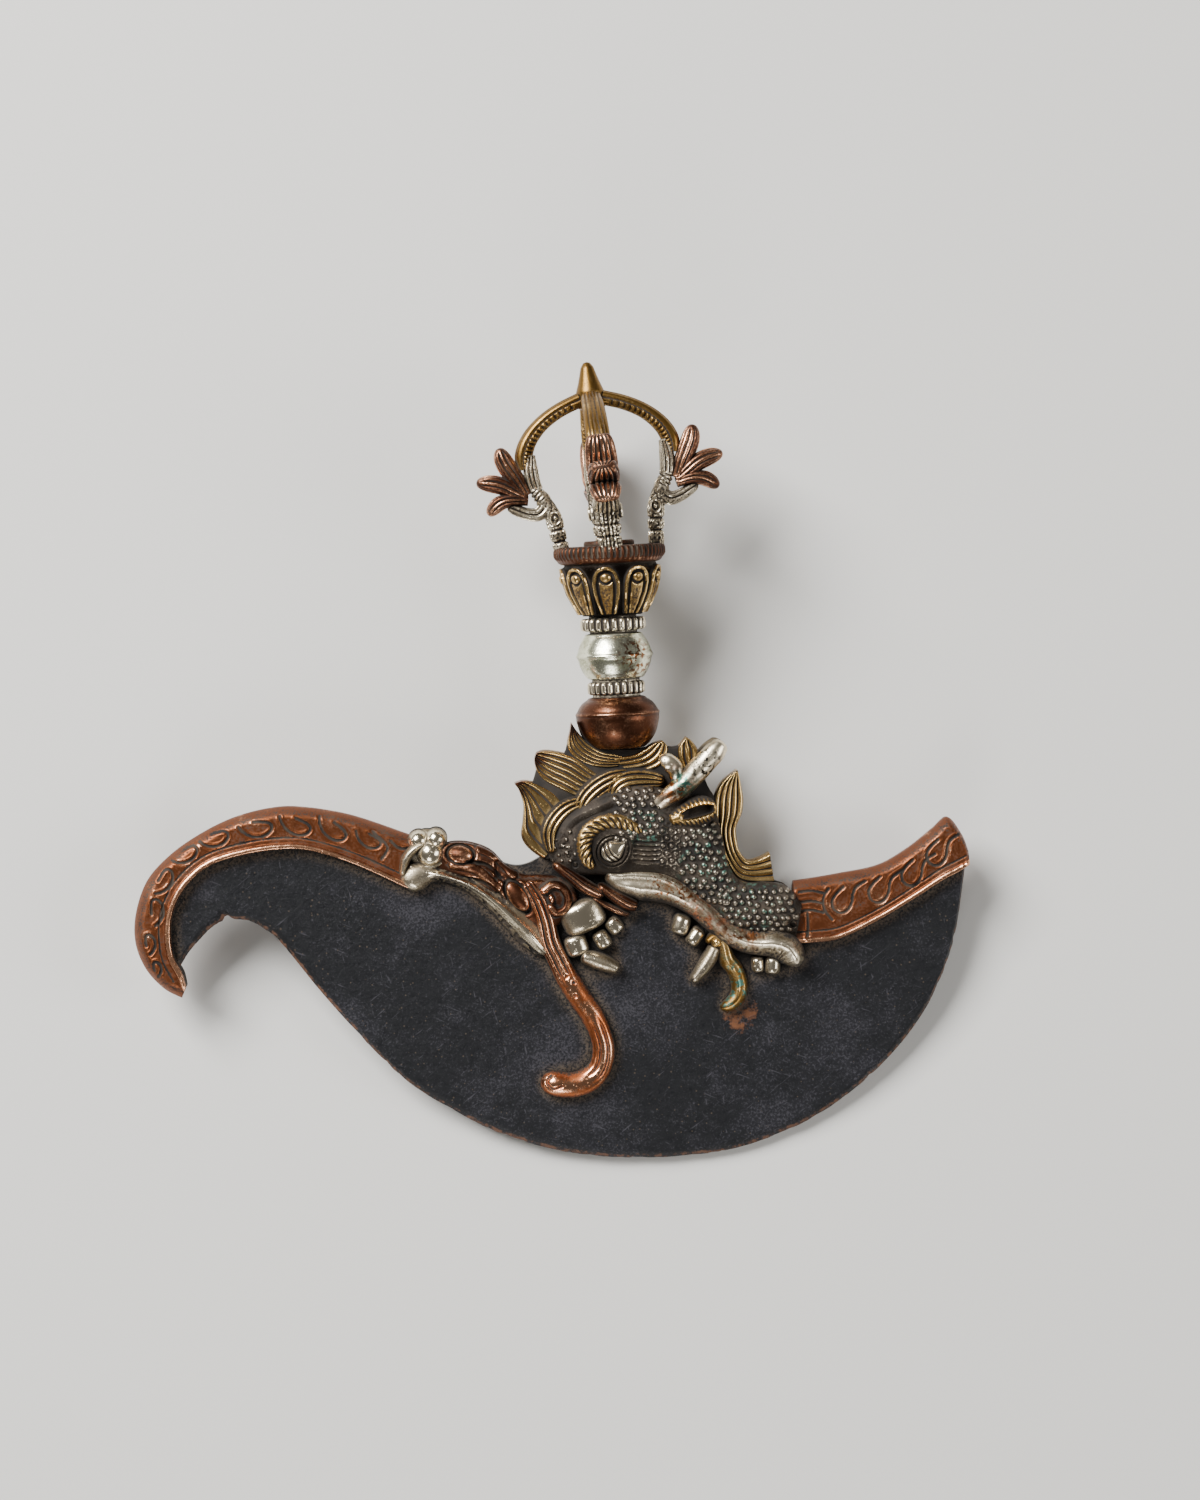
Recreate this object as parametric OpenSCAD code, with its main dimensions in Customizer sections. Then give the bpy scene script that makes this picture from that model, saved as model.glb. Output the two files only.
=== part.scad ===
/* [Blade] */
// Thickness of the iron blade plate
blade_t = 3; // [2.4:0.1:3.6]
// Width of the ground band along the cutting edge
bevel_w = 1.6; // [0.8:0.1:2.4]
// Thickness left at the cutting edge
edge_t = 0.7; // [0.3:0.1:1.2]
// How far the bare field of each cheek is filed below the ground under the ornament
field_sink = 0.1; // [0.05:0.05:0.3]
// Width of the tang that runs up inside the handle
tang_w = 5.2; // [4.4:0.1:5.6]

/* [Copper sheaths] */
// How far a sheath stands above each face of the blade
sheath_rise = 2.1; // [1.4:0.1:2.6]
// Depth of blade that is gripped inside a sheath
sheath_grip = 3; // [2:0.1:3.4]
// Width of the sloping outer edge of a sheath
sheath_slope = 2.4; // [1.6:0.1:3]

/* [Makara head] */
// Thickness of the flame crest and the neck fin
mane_t = 6; // [5:0.1:7]
// Height of the scaled skull above the blade
skull_rise = 5; // [4.4:0.1:5.6]
// Height of the silver upper lip above the blade
lip_rise = 6.6; // [5.8:0.1:7]
// Height of the copper lower jaw above the blade
jaw_rise = 3; // [2.4:0.1:3.4]
// Height of the silver lower lip above the blade
under_lip_rise = 3.8; // [3:0.1:4.4]
// Height of the silver curls behind the jaw above the blade
curl_rise = 4; // [3.2:0.1:4.6]
// Height of the copper mouth bars above the blade
bar_rise = 4.4; // [3.6:0.1:5]
// Height of the copper tongue above the blade
tongue_rise = 3.4; // [2.4:0.1:4]
// Height of the teeth and the fangs above the blade
tooth_rise = 3; // [2.2:0.1:3.6]
// Height of the brass whisker above the blade
whisker_rise = 3; // [2.2:0.1:3.6]
// Height of the ribbed brow above the blade
brow_rise = 6.4; // [5.8:0.1:7]
// Depth that the brow, the eye and the ear are sunk to, above the blade
inlay_floor = 2.4; // [2.2:0.1:2.8]
// Outer radius of the eye socket
socket_r = 3.8; // [3.3:0.1:4]
// Radius of the silver eyeball
eye_r = 2.3; // [1.8:0.1:2.6]
// Height of the horn above the crest's face
horn_rise = 4.6; // [4:0.1:5.4]
// Height of the mane locks above the crest's face
lock_rise = 2.8; // [2.2:0.1:3.4]
// Radius of the hidden rivets that hold the two half heads to the blade
rivet_r = 1; // [0.7:0.05:1.3]

/* [Handle] */
// Lean of the handle to the left of the blade's upright
handle_lean = 3.2; // [0:0.1:5]
// Largest radius of the copper bead
copper_bead_r = 8.4; // [7.6:0.1:9]
// Length of the copper bead
copper_bead_len = 10.4; // [9.6:0.1:11.6]
// Largest radius of the silver bead
silver_bead_r = 7.6; // [6.6:0.1:8.6]
// Length of the silver bead
silver_bead_len = 9.2; // [7.5:0.1:11]
// Outer radius of the lower ribbed ring
lower_ring_r = 5.8; // [5.4:0.1:6.6]
// Outer radius of the upper ribbed ring
upper_ring_r = 6.6; // [5.8:0.1:7.2]
// Length of the ribbed part of each ring
ring_len = 2.6; // [2:0.1:3.4]
// Number of ribs round each ring
ring_ribs = 24; // [16:1:32]
// Radius of the plain necks above and below each ring
neck_r = 4.8; // [4.2:0.1:5]
// Length of each plain neck
neck_len = 0.5; // [0.2:0.1:1]
// Radius of the lotus cup at its widest
cup_r = 9.4; // [8.6:0.1:9.8]
// Height of the lotus cup
cup_len = 10.4; // [9:0.1:13]
// Number of lotus petals
petals = 9; // [7:1:11]
// Height of a petal above the cup
petal_rise = 0.9; // [0.5:0.1:1.2]
// Radius of the ribbed disc under the cage
disc_r = 11.3; // [10.8:0.1:12]
// Thickness of the ribbed disc
disc_len = 3.6; // [2.8:0.1:4.4]
// Number of ribs round the disc
disc_ribs = 44; // [30:1:60]
// Thickness of the washer that the tang is peened over
washer_len = 1; // [0.6:0.1:1.4]

/* [Thunderbolt cage] */
// Extra lean of the cage to the left of the handle
cage_lean = 4.2; // [0:0.1:5]
// Height of the cage from the disc to the tip of the spike
cage_h = 37; // [36:0.5:40]
// Distance from the cage's axis to the farthest flame
prong_reach = 24.7; // [23.6:0.1:26]
// Distance from the cage's axis to the foot of a prong
prong_foot = 9.6; // [9.2:0.1:9.8]
// Radius of the middle rod
rod_r = 1.5; // [1.2:0.1:2]
// Radius of the collar that the four arms are brazed to
collar_r = 2.8; // [2.7:0.05:3.2]

/* [Hidden] */
// Gap at soldered seats between curved faces
seat = 0.05;
// Clearance of the tang and the rivets in their holes
slip = 0.1;
// Length that cutters run past the faces they cut
past = 1;
// Height of an upright cutter
cut_h = 12;
// Facets round a turned form
$fn = 48;
// Levels of the blade's face, the crest's face and the floor of the inlaid pieces
face = blade_t / 2;
mane_face = mane_t / 2;
inlay = face + inlay_floor;
bore_r = norm([tang_w / 2, face]) + slip;

// Colours of the metals
iron = "#2b2b30";
copper = "#96502f";
bright_copper = "#b8663f";
brass = "#97793f";
silver = "#c9c5bb";
dark_bronze = "#4c443c";

// Seats up the handle, each measured along its axis from the saddle of the crest
axis_foot = [3.9, 0];
bead_z = 0.4;
lower_ring_z = bead_z + copper_bead_len;
silver_bead_z = lower_ring_z + ring_len + 2 * neck_len;
upper_ring_z = silver_bead_z + silver_bead_len;
cup_z = upper_ring_z + ring_len + 2 * neck_len;
disc_z = cup_z + cup_len;
cage_z = disc_z + disc_len;

// Edges of the hook's sheath, from the hook's tip round to the jaw
hook_out = [[-83.8, -50.1], [-87.4, -48.2], [-91, -44.3], [-93.1, -39], [-93, -33], [-90.7, -26.4],
            [-86, -21.2], [-80, -17], [-73.5, -13.8], [-66.4, -11.9], [-60, -11.6], [-50, -13.2],
            [-38, -17.2]];
hook_in = [[-82.8, -47.5], [-83.4, -45], [-85, -42], [-85.7, -38.6], [-85.6, -34], [-84, -29.5],
           [-81, -25.7], [-77, -23], [-71, -21.2], [-64.4, -20.2], [-58, -20.4], [-49, -23.2],
           [-38.5, -28]];

// Edges of the sheath at the blade's tip, from the snout outwards
tip_out = [[39, -26.2], [43, -25.6], [48, -24.7], [56, -23], [62, -19.6], [67, -15.6], [70.1, -13.2]];
tip_in = [[39, -38.9], [43, -38.6], [48.4, -37.8], [56, -34.1], [63, -29.9], [69.8, -25.5], [74.3, -22.8]];

// Cutting edge, from inside the hook round the belly to the tip
belly = [[-84.6, -45], [-82.8, -41.5], [-80, -38.1], [-77.4, -35.6], [-74.6, -34.4], [-70.4, -34.6],
         [-67, -36.4], [-63.6, -39.4], [-55, -49.9], [-44.4, -61.5], [-37, -68], [-28, -73.4],
         [-19.6, -77.5], [-8, -80.9], [2.8, -82.2], [14, -82.2], [26, -80.8], [36, -77.7],
         [45, -73.2], [53.5, -66.9], [60.5, -59.8], [65.9, -52.3], [69.7, -44.2], [72.1, -35.8],
         [73.9, -22.6]];
// Small step in the edge inside the hook
edge_chip = [[-76.2, -36.4], [-74.9, -33.3], [-72.6, -35.2], [-72.6, -38]];
// Bare field of the cheek, right of the tongue and below the whisker
bare_field = [[8, -58], [16, -56], [26, -55.5], [34, -52], [42, -47], [50, -43], [57, -40], [62, -40.5],
              [63.5, -45], [60, -52.5], [54, -60], [46, -67.5], [36, -73], [24, -76.5], [13, -77.5],
              [7.5, -76], [6, -68], [6.5, -61.5], [8, -58]];
// Upper edge of the blade, hidden under the jaw and the head
under_head = [[-37.4, -19.2], [-36, -17.2], [-32.6, -16.9], [-30.6, -19.4], [-26, -19.8], [-22.4, -21.2],
              [-19.6, -22.3], [-16, -22.7], [-12, -23], [-9.6, -21], [-8.4, -17.4], [-5, -13.6],
              [0, -10.4], [8, -9.4], [14, -10.8], [20.4, -12.6], [22.6, -17.6], [24.6, -23],
              [28.4, -27.8], [34, -29]];

// Flame crest behind the head: three lock tips, then the edge under the handle
crest_edge = [[-10.2, -22.8], [-11.9, -21.6], [-14, -20.4], [-15.3, -18.2], [-15.8, -15.6],
              [-15.5, -12.3], [-15.7, -9.8], [-16.6, -8], [-17.3, -6.7], [-15.8, -6.1], [-14, -5.8],
              [-13, -5.3], [-13.2, -3.4], [-13.3, -1.6], [-12.7, -0.2], [-11.5, 0.1], [-9.6, 0],
              [-7.7, -0.2], [-6.8, 1.4], [-6.5, 3.8], [-5.8, 5.8], [-4.6, 4.6], [-1.7, 2], [0.4, 1],
              [3.2, 0.6], [7, 0.6], [10, 1.2], [12.2, 1.7], [14.1, 1], [15.6, 1.2], [17.7, 2.8],
              [18.8, 1.7], [19.8, 0], [20.4, -4], [22.6, -7.4], [24, -9.4]];
crest_hidden = [[23, -14], [18, -14.6], [12, -13.4], [4, -13], [-3, -16], [-7, -20.6]];
// Fin of flames down the neck
fin_edge = [[24, -4.8], [25.7, -4.9], [27.2, -3.8], [27.9, -5.8], [28.6, -8.1], [29, -10.9],
            [28, -12.6], [27.4, -15.1], [27.6, -17.9], [28.5, -20.4], [29.8, -21.9], [31.4, -21.7],
            [33.9, -20.3], [34.7, -22.7], [35.2, -27.6]];
fin_hidden = [[31, -29], [26, -27], [23, -19], [21.2, -13.4], [22.8, -9.8]];
// Grooves between the strands of the crest and of the fin, each from tip to root
crest_grooves = [[[-16.2, -8], [-13.6, -12.4], [-13, -17], [-11.8, -20.4]],
                 [[-15, -7.2], [-11.6, -11], [-11, -14.6]],
                 [[-12.2, -1.6], [-9.6, -5], [-7, -8.8]],
                 [[-10.8, -0.8], [-7.2, -3.6], [-4, -7]],
                 [[-5.8, 3.8], [-3.6, 0.8], [0.6, -1.6], [7, -2.2], [11.6, 0]],
                 [[-6, 0.2], [-3.4, -2.4], [0.4, -4.4]],
                 [[17.2, 1.6], [15.8, -1.6], [17.6, -4.4]]];
fin_grooves = [[[27, -5.2], [26.6, -9.6], [25.6, -14], [26.4, -19.8]],
               [[25.2, -6], [24.6, -9.6], [24, -13.6]],
               [[33.6, -21.8], [31.4, -24.4], [31, -26.6]]];

// Skull: matching points of its upper and its lower edge, from the nape to the nose
skull_edges = [[[-10.4, -20.6], [-9.6, -22.7]], [[-9.6, -16.2], [-7.5, -24]], [[-7, -12.6], [-4, -24.9]],
               [[-3, -9.7], [0, -24.9]], [[2, -7.7], [4, -25.4]], [[8, -6.5], [8, -25.4]],
               [[13, -7.6], [12, -25.6]], [[18, -9.1], [15, -26.6]], [[22.6, -11.1], [17.5, -28.6]],
               [[24.4, -16.6], [20, -30.6]], [[25.8, -22.6], [23, -32.6]], [[28.6, -26.2], [26, -35]],
               [[33, -26.2], [30.6, -36.4]], [[37.4, -27], [35, -37]], [[40.6, -30.6], [39.4, -37.4]]];
skull_tops = [0.4, 0.66, 0.88, 1, 1.06, 1.06, 1.02, 0.98, 0.94, 0.92, 0.92, 0.96, 1, 0.96, 0.66];
// Lower jaw: the same, from its root to the chin
jaw_edges = [[[-33.4, -20], [-33.4, -24.6]], [[-30, -18.6], [-30.4, -25]], [[-26, -18.7], [-27, -26]],
             [[-22, -20.2], [-23.6, -27.8]], [[-19, -23], [-21, -30]], [[-15.5, -24.9], [-17.6, -32.8]],
             [[-12, -25], [-14.4, -35.6]], [[-8.4, -25.4], [-11.2, -37.4]],
             [[-5.6, -27], [-8.2, -35]], [[-4.4, -29.6], [-6, -32.4]]];
jaw_tops = [0.6, 0.9, 1, 1, 0.92, 0.9, 0.94, 0.96, 0.9, 0.6];

// Centre lines, half widths and relative heights of the raised strips
lip_path = [[1, -24.9], [4, -26.1], [8, -26.7], [12, -27.2], [16, -28.8], [20, -31.5], [23, -34.1],
            [26, -36.4], [29, -37.7], [32, -38.2], [35, -38.4], [37.6, -39.6], [39, -41.6], [39.4, -43.4]];
lip_wide = [0.8, 2, 2.7, 2.8, 2.6, 2.4, 2.3, 2.3, 2.4, 2.5, 2.7, 2.8, 2.4, 1.4];
lip_tops = [0.66, 0.72, 0.74, 0.74, 0.74, 0.74, 0.76, 0.8, 0.86, 0.94, 1, 1, 0.94, 0.66];
under_lip_path = [[-38.6, -28], [-36.8, -25.6], [-33.6, -24.6], [-30, -25.3], [-26, -26.9], [-22, -29.5],
                  [-18, -33], [-14, -37], [-10.4, -41.1]];
under_lip_wide = [2, 2.6, 1.8, 1.4, 1.6, 2, 2.4, 2.6, 1.5];
under_lip_tops = [0.9, 1, 0.86, 0.84, 0.86, 0.9, 0.96, 1, 0.7];
tongue_path = [[-14.8, -26.3], [-12.6, -29.8], [-11, -34], [-10, -38.5], [-8.6, -41.5], [-6.6, -45.5],
               [-4, -49.6], [-1.6, -53], [0.2, -56.7], [1, -60.3], [0.2, -64], [-2.2, -66.4],
               [-5.6, -67.4], [-9, -67], [-11.4, -66]];
tongue_wide = [1, 1.5, 1.5, 1.6, 1.9, 2, 2.1, 2, 1.9, 1.9, 2, 2.1, 2.2, 2.2, 1.4];
tongue_tops = [1.12, 1.16, 1.1, 1, 0.96, 0.94, 0.92, 0.9, 0.88, 0.88, 0.9, 0.94, 1, 1, 0.7];
brow_path = [[-2, -23.3], [-3.6, -21.3], [-3.9, -18.2], [-2.6, -15.2], [0.4, -13.4], [3.4, -13.2],
             [6.2, -14.4], [8.8, -16.2]];
brow_wide = [0.7, 1.3, 1.5, 1.6, 1.6, 1.6, 1.3, 0.5];
brow_tops = [0.86, 0.94, 1, 1, 1, 1, 0.98, 0.9];
eye_at = [2.4, -19.6];
lock_paths = [[[2.4, -8.4], [3.4, -6.1], [6, -4.5], [9, -4.1], [12.6, -5]],
              [[-5, -12.8], [-4, -9.7], [-1.6, -7], [1.6, -5], [5, -3.6]],
              [[-10.4, -20], [-10.8, -16.6], [-9.6, -13.4], [-7, -10.9], [-3, -9.3]]];
lock_wide = [0.9, 1.5, 1.6, 1.4, 0.7];
horn_path = [[11.6, -11.4], [15.6, -8.2], [19.2, -4.6], [22, -1.2], [24, 1.2]];
horn_r = [1.4, 1.6, 1.6, 1.4, 0.7];
twig_path = [[17.4, -8.8], [15.6, -5.8], [14, -3.6], [12.2, -2.7]];
twig_r = [1, 1.1, 1, 0.6];
ear_path = [[13.8, -14], [16.4, -13], [19, -12.2], [21.4, -11.6], [23.6, -11]];
ear_wide = [0.4, 1.9, 2.3, 1.8, 0.4];
bar_paths = [[[-8.8, -22.7], [-6, -24.9], [-3, -27.5], [0, -29.2]],
             [[0.6, -27.6], [3.4, -29.8], [6.2, -31.6]]];
bar_wide = [0.7, 1.2, 1.2, 1];
whisker_path = [[21.4, -38.5], [23.2, -37.4], [24.9, -39], [25.7, -41.9], [27.2, -43.9], [28.2, -46.6],
                [28, -49.2], [26.4, -51], [24.4, -51.8]];
whisker_wide = [0.6, 0.9, 1.1, 1.4, 1.4, 1.4, 1.3, 1.2, 0.7];
fang_path = [[23, -39.6], [21.2, -42.4], [19, -45.9]];
fang_wide = [1.3, 1.2, 0.4];
under_fang_path = [[-4.2, -41.2], [-0.6, -42.4], [3.4, -44.3]];
under_fang_wide = [1.5, 1.4, 0.4];
// Teeth: place, width, height and turn of each
upper_teeth = [[16.4, -34.2, 2.8, 3.6, -8], [19.2, -36.7, 2.4, 3.4, -35], [31.4, -42.5, 1.8, 2.8, 0],
               [34.8, -43.1, 2.6, 3.6, 0]];
lower_teeth = [[-3, -34, 7, 4.4, 25], [-3.4, -38.4, 4.4, 3.2, 20], [1, -38, 2.4, 3.2, 30],
               [3.2, -35, 2.8, 2.4, 35]];
// Silver curls behind the jaw: place and radius of each
curls = [[-34, -20.8, 2.2], [-33.2, -17.8, 1.9], [-36.7, -18, 1.7]];
curl_strap = [[-39.4, -24], [-38.6, -21.4], [-37, -18.4]];
// Rivets through the blade, and how far each may go into the half heads
rivets_at = [[12, -17.5], [31, -31], [-24, -22.6]];

// Place at u, from 0 to 1, on a smooth curve through hand-placed points
function at(pts, u) =
    let (n = len(pts) - 1,
         s = min(floor(u * n), n - 1),
         t = u * n - s,
         a = pts[max(s - 1, 0)],
         b = pts[s],
         c = pts[s + 1],
         d = pts[min(s + 2, n)])
    b + (t * (c - a) + t * t * (2 * a - 5 * b + 4 * c - d) + t * t * t * (3 * b - 3 * c + d - a)) / 2;

function curve(pts, steps) = [for (k = [0:steps]) at(pts, k / steps)];

function unit(v) = v / norm(v);

// Direction of a curve, and its left-hand normal
function along(pts, u) = unit(at(pts, min(u + 0.01, 1)) - at(pts, max(u - 0.01, 0)));
function left_of(pts, u) =
    let (d = along(pts, u))
    [-d[1], d[0]];

// Section of a raised form, from its left foot over the top to its right foot
function arch(left, right, foot, top, side = 0.35, n = 5) =
    concat([[left[0], left[1], foot]],
           [for (k = [0:n])
               let (p = left + (right - left) * (1 - cos(180 * k / n)) / 2)
               [p[0], p[1], foot + (top - foot) * (side + (1 - side) * sin(180 * k / n))]],
           [[right[0], right[1], foot]]);

// Closed solid through rings that run counterclockwise as seen from its far end, each end
// closed by one flat face or by the faces given
module loft(rings, cap = []) {
    n = len(rings[0]);
    flat = len(cap) > 0 ? cap : [[for (k = [0:n - 1]) k]];
    last = (len(rings) - 1) * n;
    walls = [for (i = [0:len(rings) - 2])
                for (k = [0:n - 1])
                    let (a = i * n + k, b = i * n + (k + 1) % n)
                    each [[a, a + n, b + n], [a, b + n, b]]];
    caps = concat(flat, [for (f = flat) [for (k = [len(f) - 1:-1:0]) last + f[k]]]);
    polyhedron(points = [for (ring = rings) each ring], faces = concat(caps, walls), convexity = 8);
}

// Raised strip along a centre line, standing on a foot level
module strip(path, wide, tops, foot, rise, steps = 16) {
    loft([for (k = [0:steps])
             let (u = k / steps,
                  p = at(path, u),
                  w = left_of(path, u) * at(wide, u))
             arch(p + w, p - w, foot, face + rise * at(tops, u))]);
}

// Upright cutter with the outline of a strip
module slot(path, wide, foot, steps = 16) {
    sides = [for (turn = [1, -1])
                [for (k = [0:steps])
                    at(path, k / steps) + turn * left_of(path, k / steps) * at(wide, k / steps)]];
    translate([0, 0, foot]) linear_extrude(cut_h) polygon(concat(sides[0], [for (k = [steps:-1:0]) sides[1][k]]));
}

// Upright cutter with the outline of a cheek
module cheek_slot(edges, foot, steps) {
    translate([0, 0, foot]) linear_extrude(cut_h)
        polygon(concat([for (k = [0:steps]) at(edges, k / steps)[0]],
                       [for (k = [steps:-1:0]) at(edges, k / steps)[1]]));
}

// Raised form between two edges
module cheek(edges, tops, foot, rise, steps) {
    loft([for (k = [0:steps])
             let (u = k / steps, pair = at(edges, u))
             arch(pair[0], pair[1], foot, face + rise * at(tops, u), 0.45, 7)]);
}

// Round limb at one height, thick at its root
module limb(path, radii, height, steps = 8) {
    loft([for (k = [0:steps])
             let (u = k / steps,
                  p = at(path, u),
                  n = left_of(path, u),
                  r = at(radii, u))
             [for (t = [22.5:45:360]) [p[0] + n[0] * r * cos(t), p[1] + n[1] * r * cos(t), height + r * sin(t)]]]);
}

// Narrow V groove cut from a face
module groove(path, level, wide = 0.35, depth = 0.7, steps = 4) {
    loft([for (k = [0:steps])
             let (u = k / steps,
                  p = at(path, u),
                  w = left_of(path, u) * wide * (1 - 0.7 * u))
             [[p[0] + w[0], p[1] + w[1], level + past], [p[0] - w[0], p[1] - w[1], level + past],
              [p[0], p[1], level - depth * (1 - 0.6 * u)]]]);
}

// Tooth with a rounded crown
module tooth(spec) {
    translate([spec[0], spec[1], 0]) rotate(spec[4])
        loft([for (ring = [[0, 1], [0.6, 1], [0.9, 0.84], [1, 0.56]])
                 [for (corner = [[0.5, -0.3], [0.5, 0.3], [0.3, 0.5], [-0.3, 0.5],
                                 [-0.5, 0.3], [-0.5, -0.3], [-0.3, -0.5], [0.3, -0.5]])
                     [corner[0] * spec[2] * ring[1], corner[1] * spec[3] * ring[1],
                      face + tooth_rise * ring[0]]]]);
}

// Skin of one or more joined forms, kept as a single mesh
module joined_skin() {
    resize([0, 0, 0]) children();
}

// Both halves of a form that stands on the two faces of the blade
module both_sides() {
    children();
    mirror([0, 0, 1]) children();
}

// Frame with its Z axis up the handle, at a height above the crest's saddle
module on_handle(height) {
    translate([axis_foot[0], axis_foot[1], 0]) rotate([0, 0, handle_lean])
        translate([0, height, 0]) rotate([-90, 0, 0]) children();
}

// Frame of the cage, which leans a little more than the handle
module in_cage() {
    on_handle(cage_z) rotate([0, -cage_lean, 0]) children();
}

// Place in the blade's frame of a point on the cage's axis
function cage_point(height) =
    let (lean = handle_lean + cage_lean)
    axis_foot + cage_z * [-sin(handle_lean), cos(handle_lean)] + height * [-sin(lean), cos(lean)];

// The object lies on its rear flames, the back of its tongue and the back of its upper lip
flame_h = 15.4;
flame_bulge = 0.18;
lip_fall = 0.33;
rest_a = concat(cage_point(flame_h), [-prong_reach - flame_bulge]);
rest_b = concat(at(tongue_path, 0.86) - [1.3, 0.66], [-face - tongue_rise + seat]);
rest_c = concat(at(lip_path, 0.9), [-face - lip_rise + lip_fall]);
rest_up = unit(cross(rest_c - rest_b, rest_a - rest_b));
rest_tilt = atan2(rest_up[1], rest_up[2]);
rest_roll = -atan2(rest_up[0], norm([rest_up[1], rest_up[2]]));
rest_lift = -(rest_b * rest_up);
// Middle of the object as it lies
rest_middle = [-9.62, -2.27];

module lying() {
    translate([-rest_middle[0], -rest_middle[1], rest_lift])
        rotate([0, rest_roll, 0]) rotate([rest_tilt, 0, 0]) children();
}

// Line inside a sheath that the blade reaches
function grip_line(out, in, from, to, steps) =
    [for (k = [0:steps])
        let (u = from + (to - from) * k / steps,
             p = at(in, u),
             q = at(out, u))
        p + unit(q - p) * min(sheath_grip, 0.4 * norm(q - p))];

function bevel_at(u) = bevel_w * min(1, 0.1 + 20 * u, 0.1 + 20 * (1 - u));
belly_steps = 56;
blade_outline = concat(grip_line(hook_out, hook_in, 0.07, 1, 26), under_head,
                       grip_line(tip_out, tip_in, 0, 0.97, 12),
                       [for (k = [belly_steps:-1:0]) at(belly, k / belly_steps)]);

// Blade and tang before grinding
module blade_body() {
    linear_extrude(blade_t, center = true) polygon(blade_outline);
    on_handle((cage_z + washer_len) / 2 - 6)
        cube([tang_w, blade_t, cage_z + washer_len + 12], center = true);
}

// Wedge ground off one face along the cutting edge
module ground_wedge() {
    drop = face - edge_t / 2;
    loft([for (k = [1:belly_steps - 1])
             let (u = k / belly_steps,
                  p = at(belly, u),
                  n = left_of(belly, u) * bevel_at(u),
                  inner = p + n * 1.3,
                  outer = p - n * 0.3)
             [[inner[0], inner[1], face + drop * 0.3], [outer[0], outer[1], face + past],
              [outer[0], outer[1], edge_t / 2 - drop * 0.3]]]);
}

module rivet_rods(grow) {
    for (p = rivets_at)
        translate([p[0], p[1], 0]) cylinder(r = rivet_r + grow, h = 2 * (inlay - 0.4 + grow), center = true);
}

module blade_plate() {
    color(iron) difference() {
        blade_body();
        both_sides() ground_wedge();
        both_sides() translate([0, 0, face - field_sink])
            linear_extrude(past) polygon([for (k = [0:35]) at(bare_field, k / 36)]);
        linear_extrude(blade_t + 2 * past, center = true) polygon(edge_chip);
        rivet_rods(slip);
    }
}

// Channel-shaped sheath over an edge, with a sloping outer rim
module sheath_body(out, in, steps) {
    loft([for (k = [0:steps])
             let (u = k / steps,
                  p = at(out, u),
                  q = at(in, u),
                  w = norm(q - p),
                  a = p + (q - p) * min(sheath_slope / w, 0.35),
                  b = q - (q - p) * min(0.9 / w, 0.2),
                  top = min(face + sheath_rise, face + 0.6 + w * 0.3))
             [[p[0], p[1], 0.9], [a[0], a[1], top], [b[0], b[1], top], [q[0], q[1], top - 0.7],
              [q[0], q[1], 0.7 - top], [b[0], b[1], -top], [a[0], a[1], -top], [p[0], p[1], -0.9]]]);
}

module hook_sheath() {
    color(copper) joined_skin() difference() {
        sheath_body(hook_out, hook_in, 30);
        blade_body();
        both_sides() {
            under_lip_slot();
            curls_slot();
        }
    }
}

module tip_sheath() {
    color(copper) joined_skin() difference() {
        sheath_body(tip_out, tip_in, 12);
        blade_body();
        both_sides() {
            skull_slot();
            lip_slot();
        }
    }
}

module mane_plate(edge, hidden) {
    linear_extrude(mane_t, center = true) polygon(concat(edge, hidden));
}

module mane_crest() {
    color(dark_bronze) joined_skin() difference() {
        mane_plate(crest_edge, crest_hidden);
        blade_body();
        on_handle(bead_z) bead_solid(copper_bead_profile(seat));
        both_sides() {
            skull_slot();
            for (path = crest_grooves)
                groove(path, mane_face);
        }
    }
}

module mane_fin() {
    color(brass) joined_skin() difference() {
        mane_plate(fin_edge, fin_hidden);
        mane_plate(crest_edge, crest_hidden);
        blade_body();
        both_sides() {
            skull_slot();
            for (path = fin_grooves)
                groove(path, mane_face);
        }
    }
}

skull_steps = 24;

module skull_body() {
    cheek(skull_edges, skull_tops, face, skull_rise, skull_steps);
}

module skull_slot() {
    cheek_slot(skull_edges, face, skull_steps);
}

lip_steps = 20;

module lip_body() {
    strip(lip_path, lip_wide, lip_tops, face, lip_rise, lip_steps);
}

module lip_slot() {
    slot(lip_path, lip_wide, face, lip_steps);
}

bar_steps = 6;

module bars_body() {
    for (path = bar_paths)
        strip(path, bar_wide, [0.9, 1, 1, 0.9], face, bar_rise, bar_steps);
}

module bars_slot() {
    for (path = bar_paths)
        slot(path, bar_wide, face, bar_steps);
}

brow_steps = 14;

module brow() {
    color(brass) strip(brow_path, brow_wide, brow_tops, inlay, brow_rise, brow_steps);
}

ear_steps = 8;

module ear() {
    ear_top = brow_rise - 0.2;
    color(brass) joined_skin() difference() {
        strip(ear_path, ear_wide, [0.92, 1, 1.04, 1, 0.92], inlay, ear_top, ear_steps);
        groove(ear_path, face + ear_top, 1.1, 1.2);
        horn_body();
    }
}

module horn_body() {
    height = mane_face + horn_rise - max(horn_r);
    limb(horn_path, horn_r, height, 8);
    limb(twig_path, twig_r, height, 5);
}

lock_steps = 8;

module mane_locks() {
    color(dark_bronze) joined_skin()
        for (path = lock_paths)
            strip(path, lock_wide, [0.9, 1, 1, 0.96, 0.8], mane_face, mane_face - face + lock_rise, lock_steps);
}

module locks_slot() {
    for (path = lock_paths)
        slot(path, lock_wide, mane_face, lock_steps);
}

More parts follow.
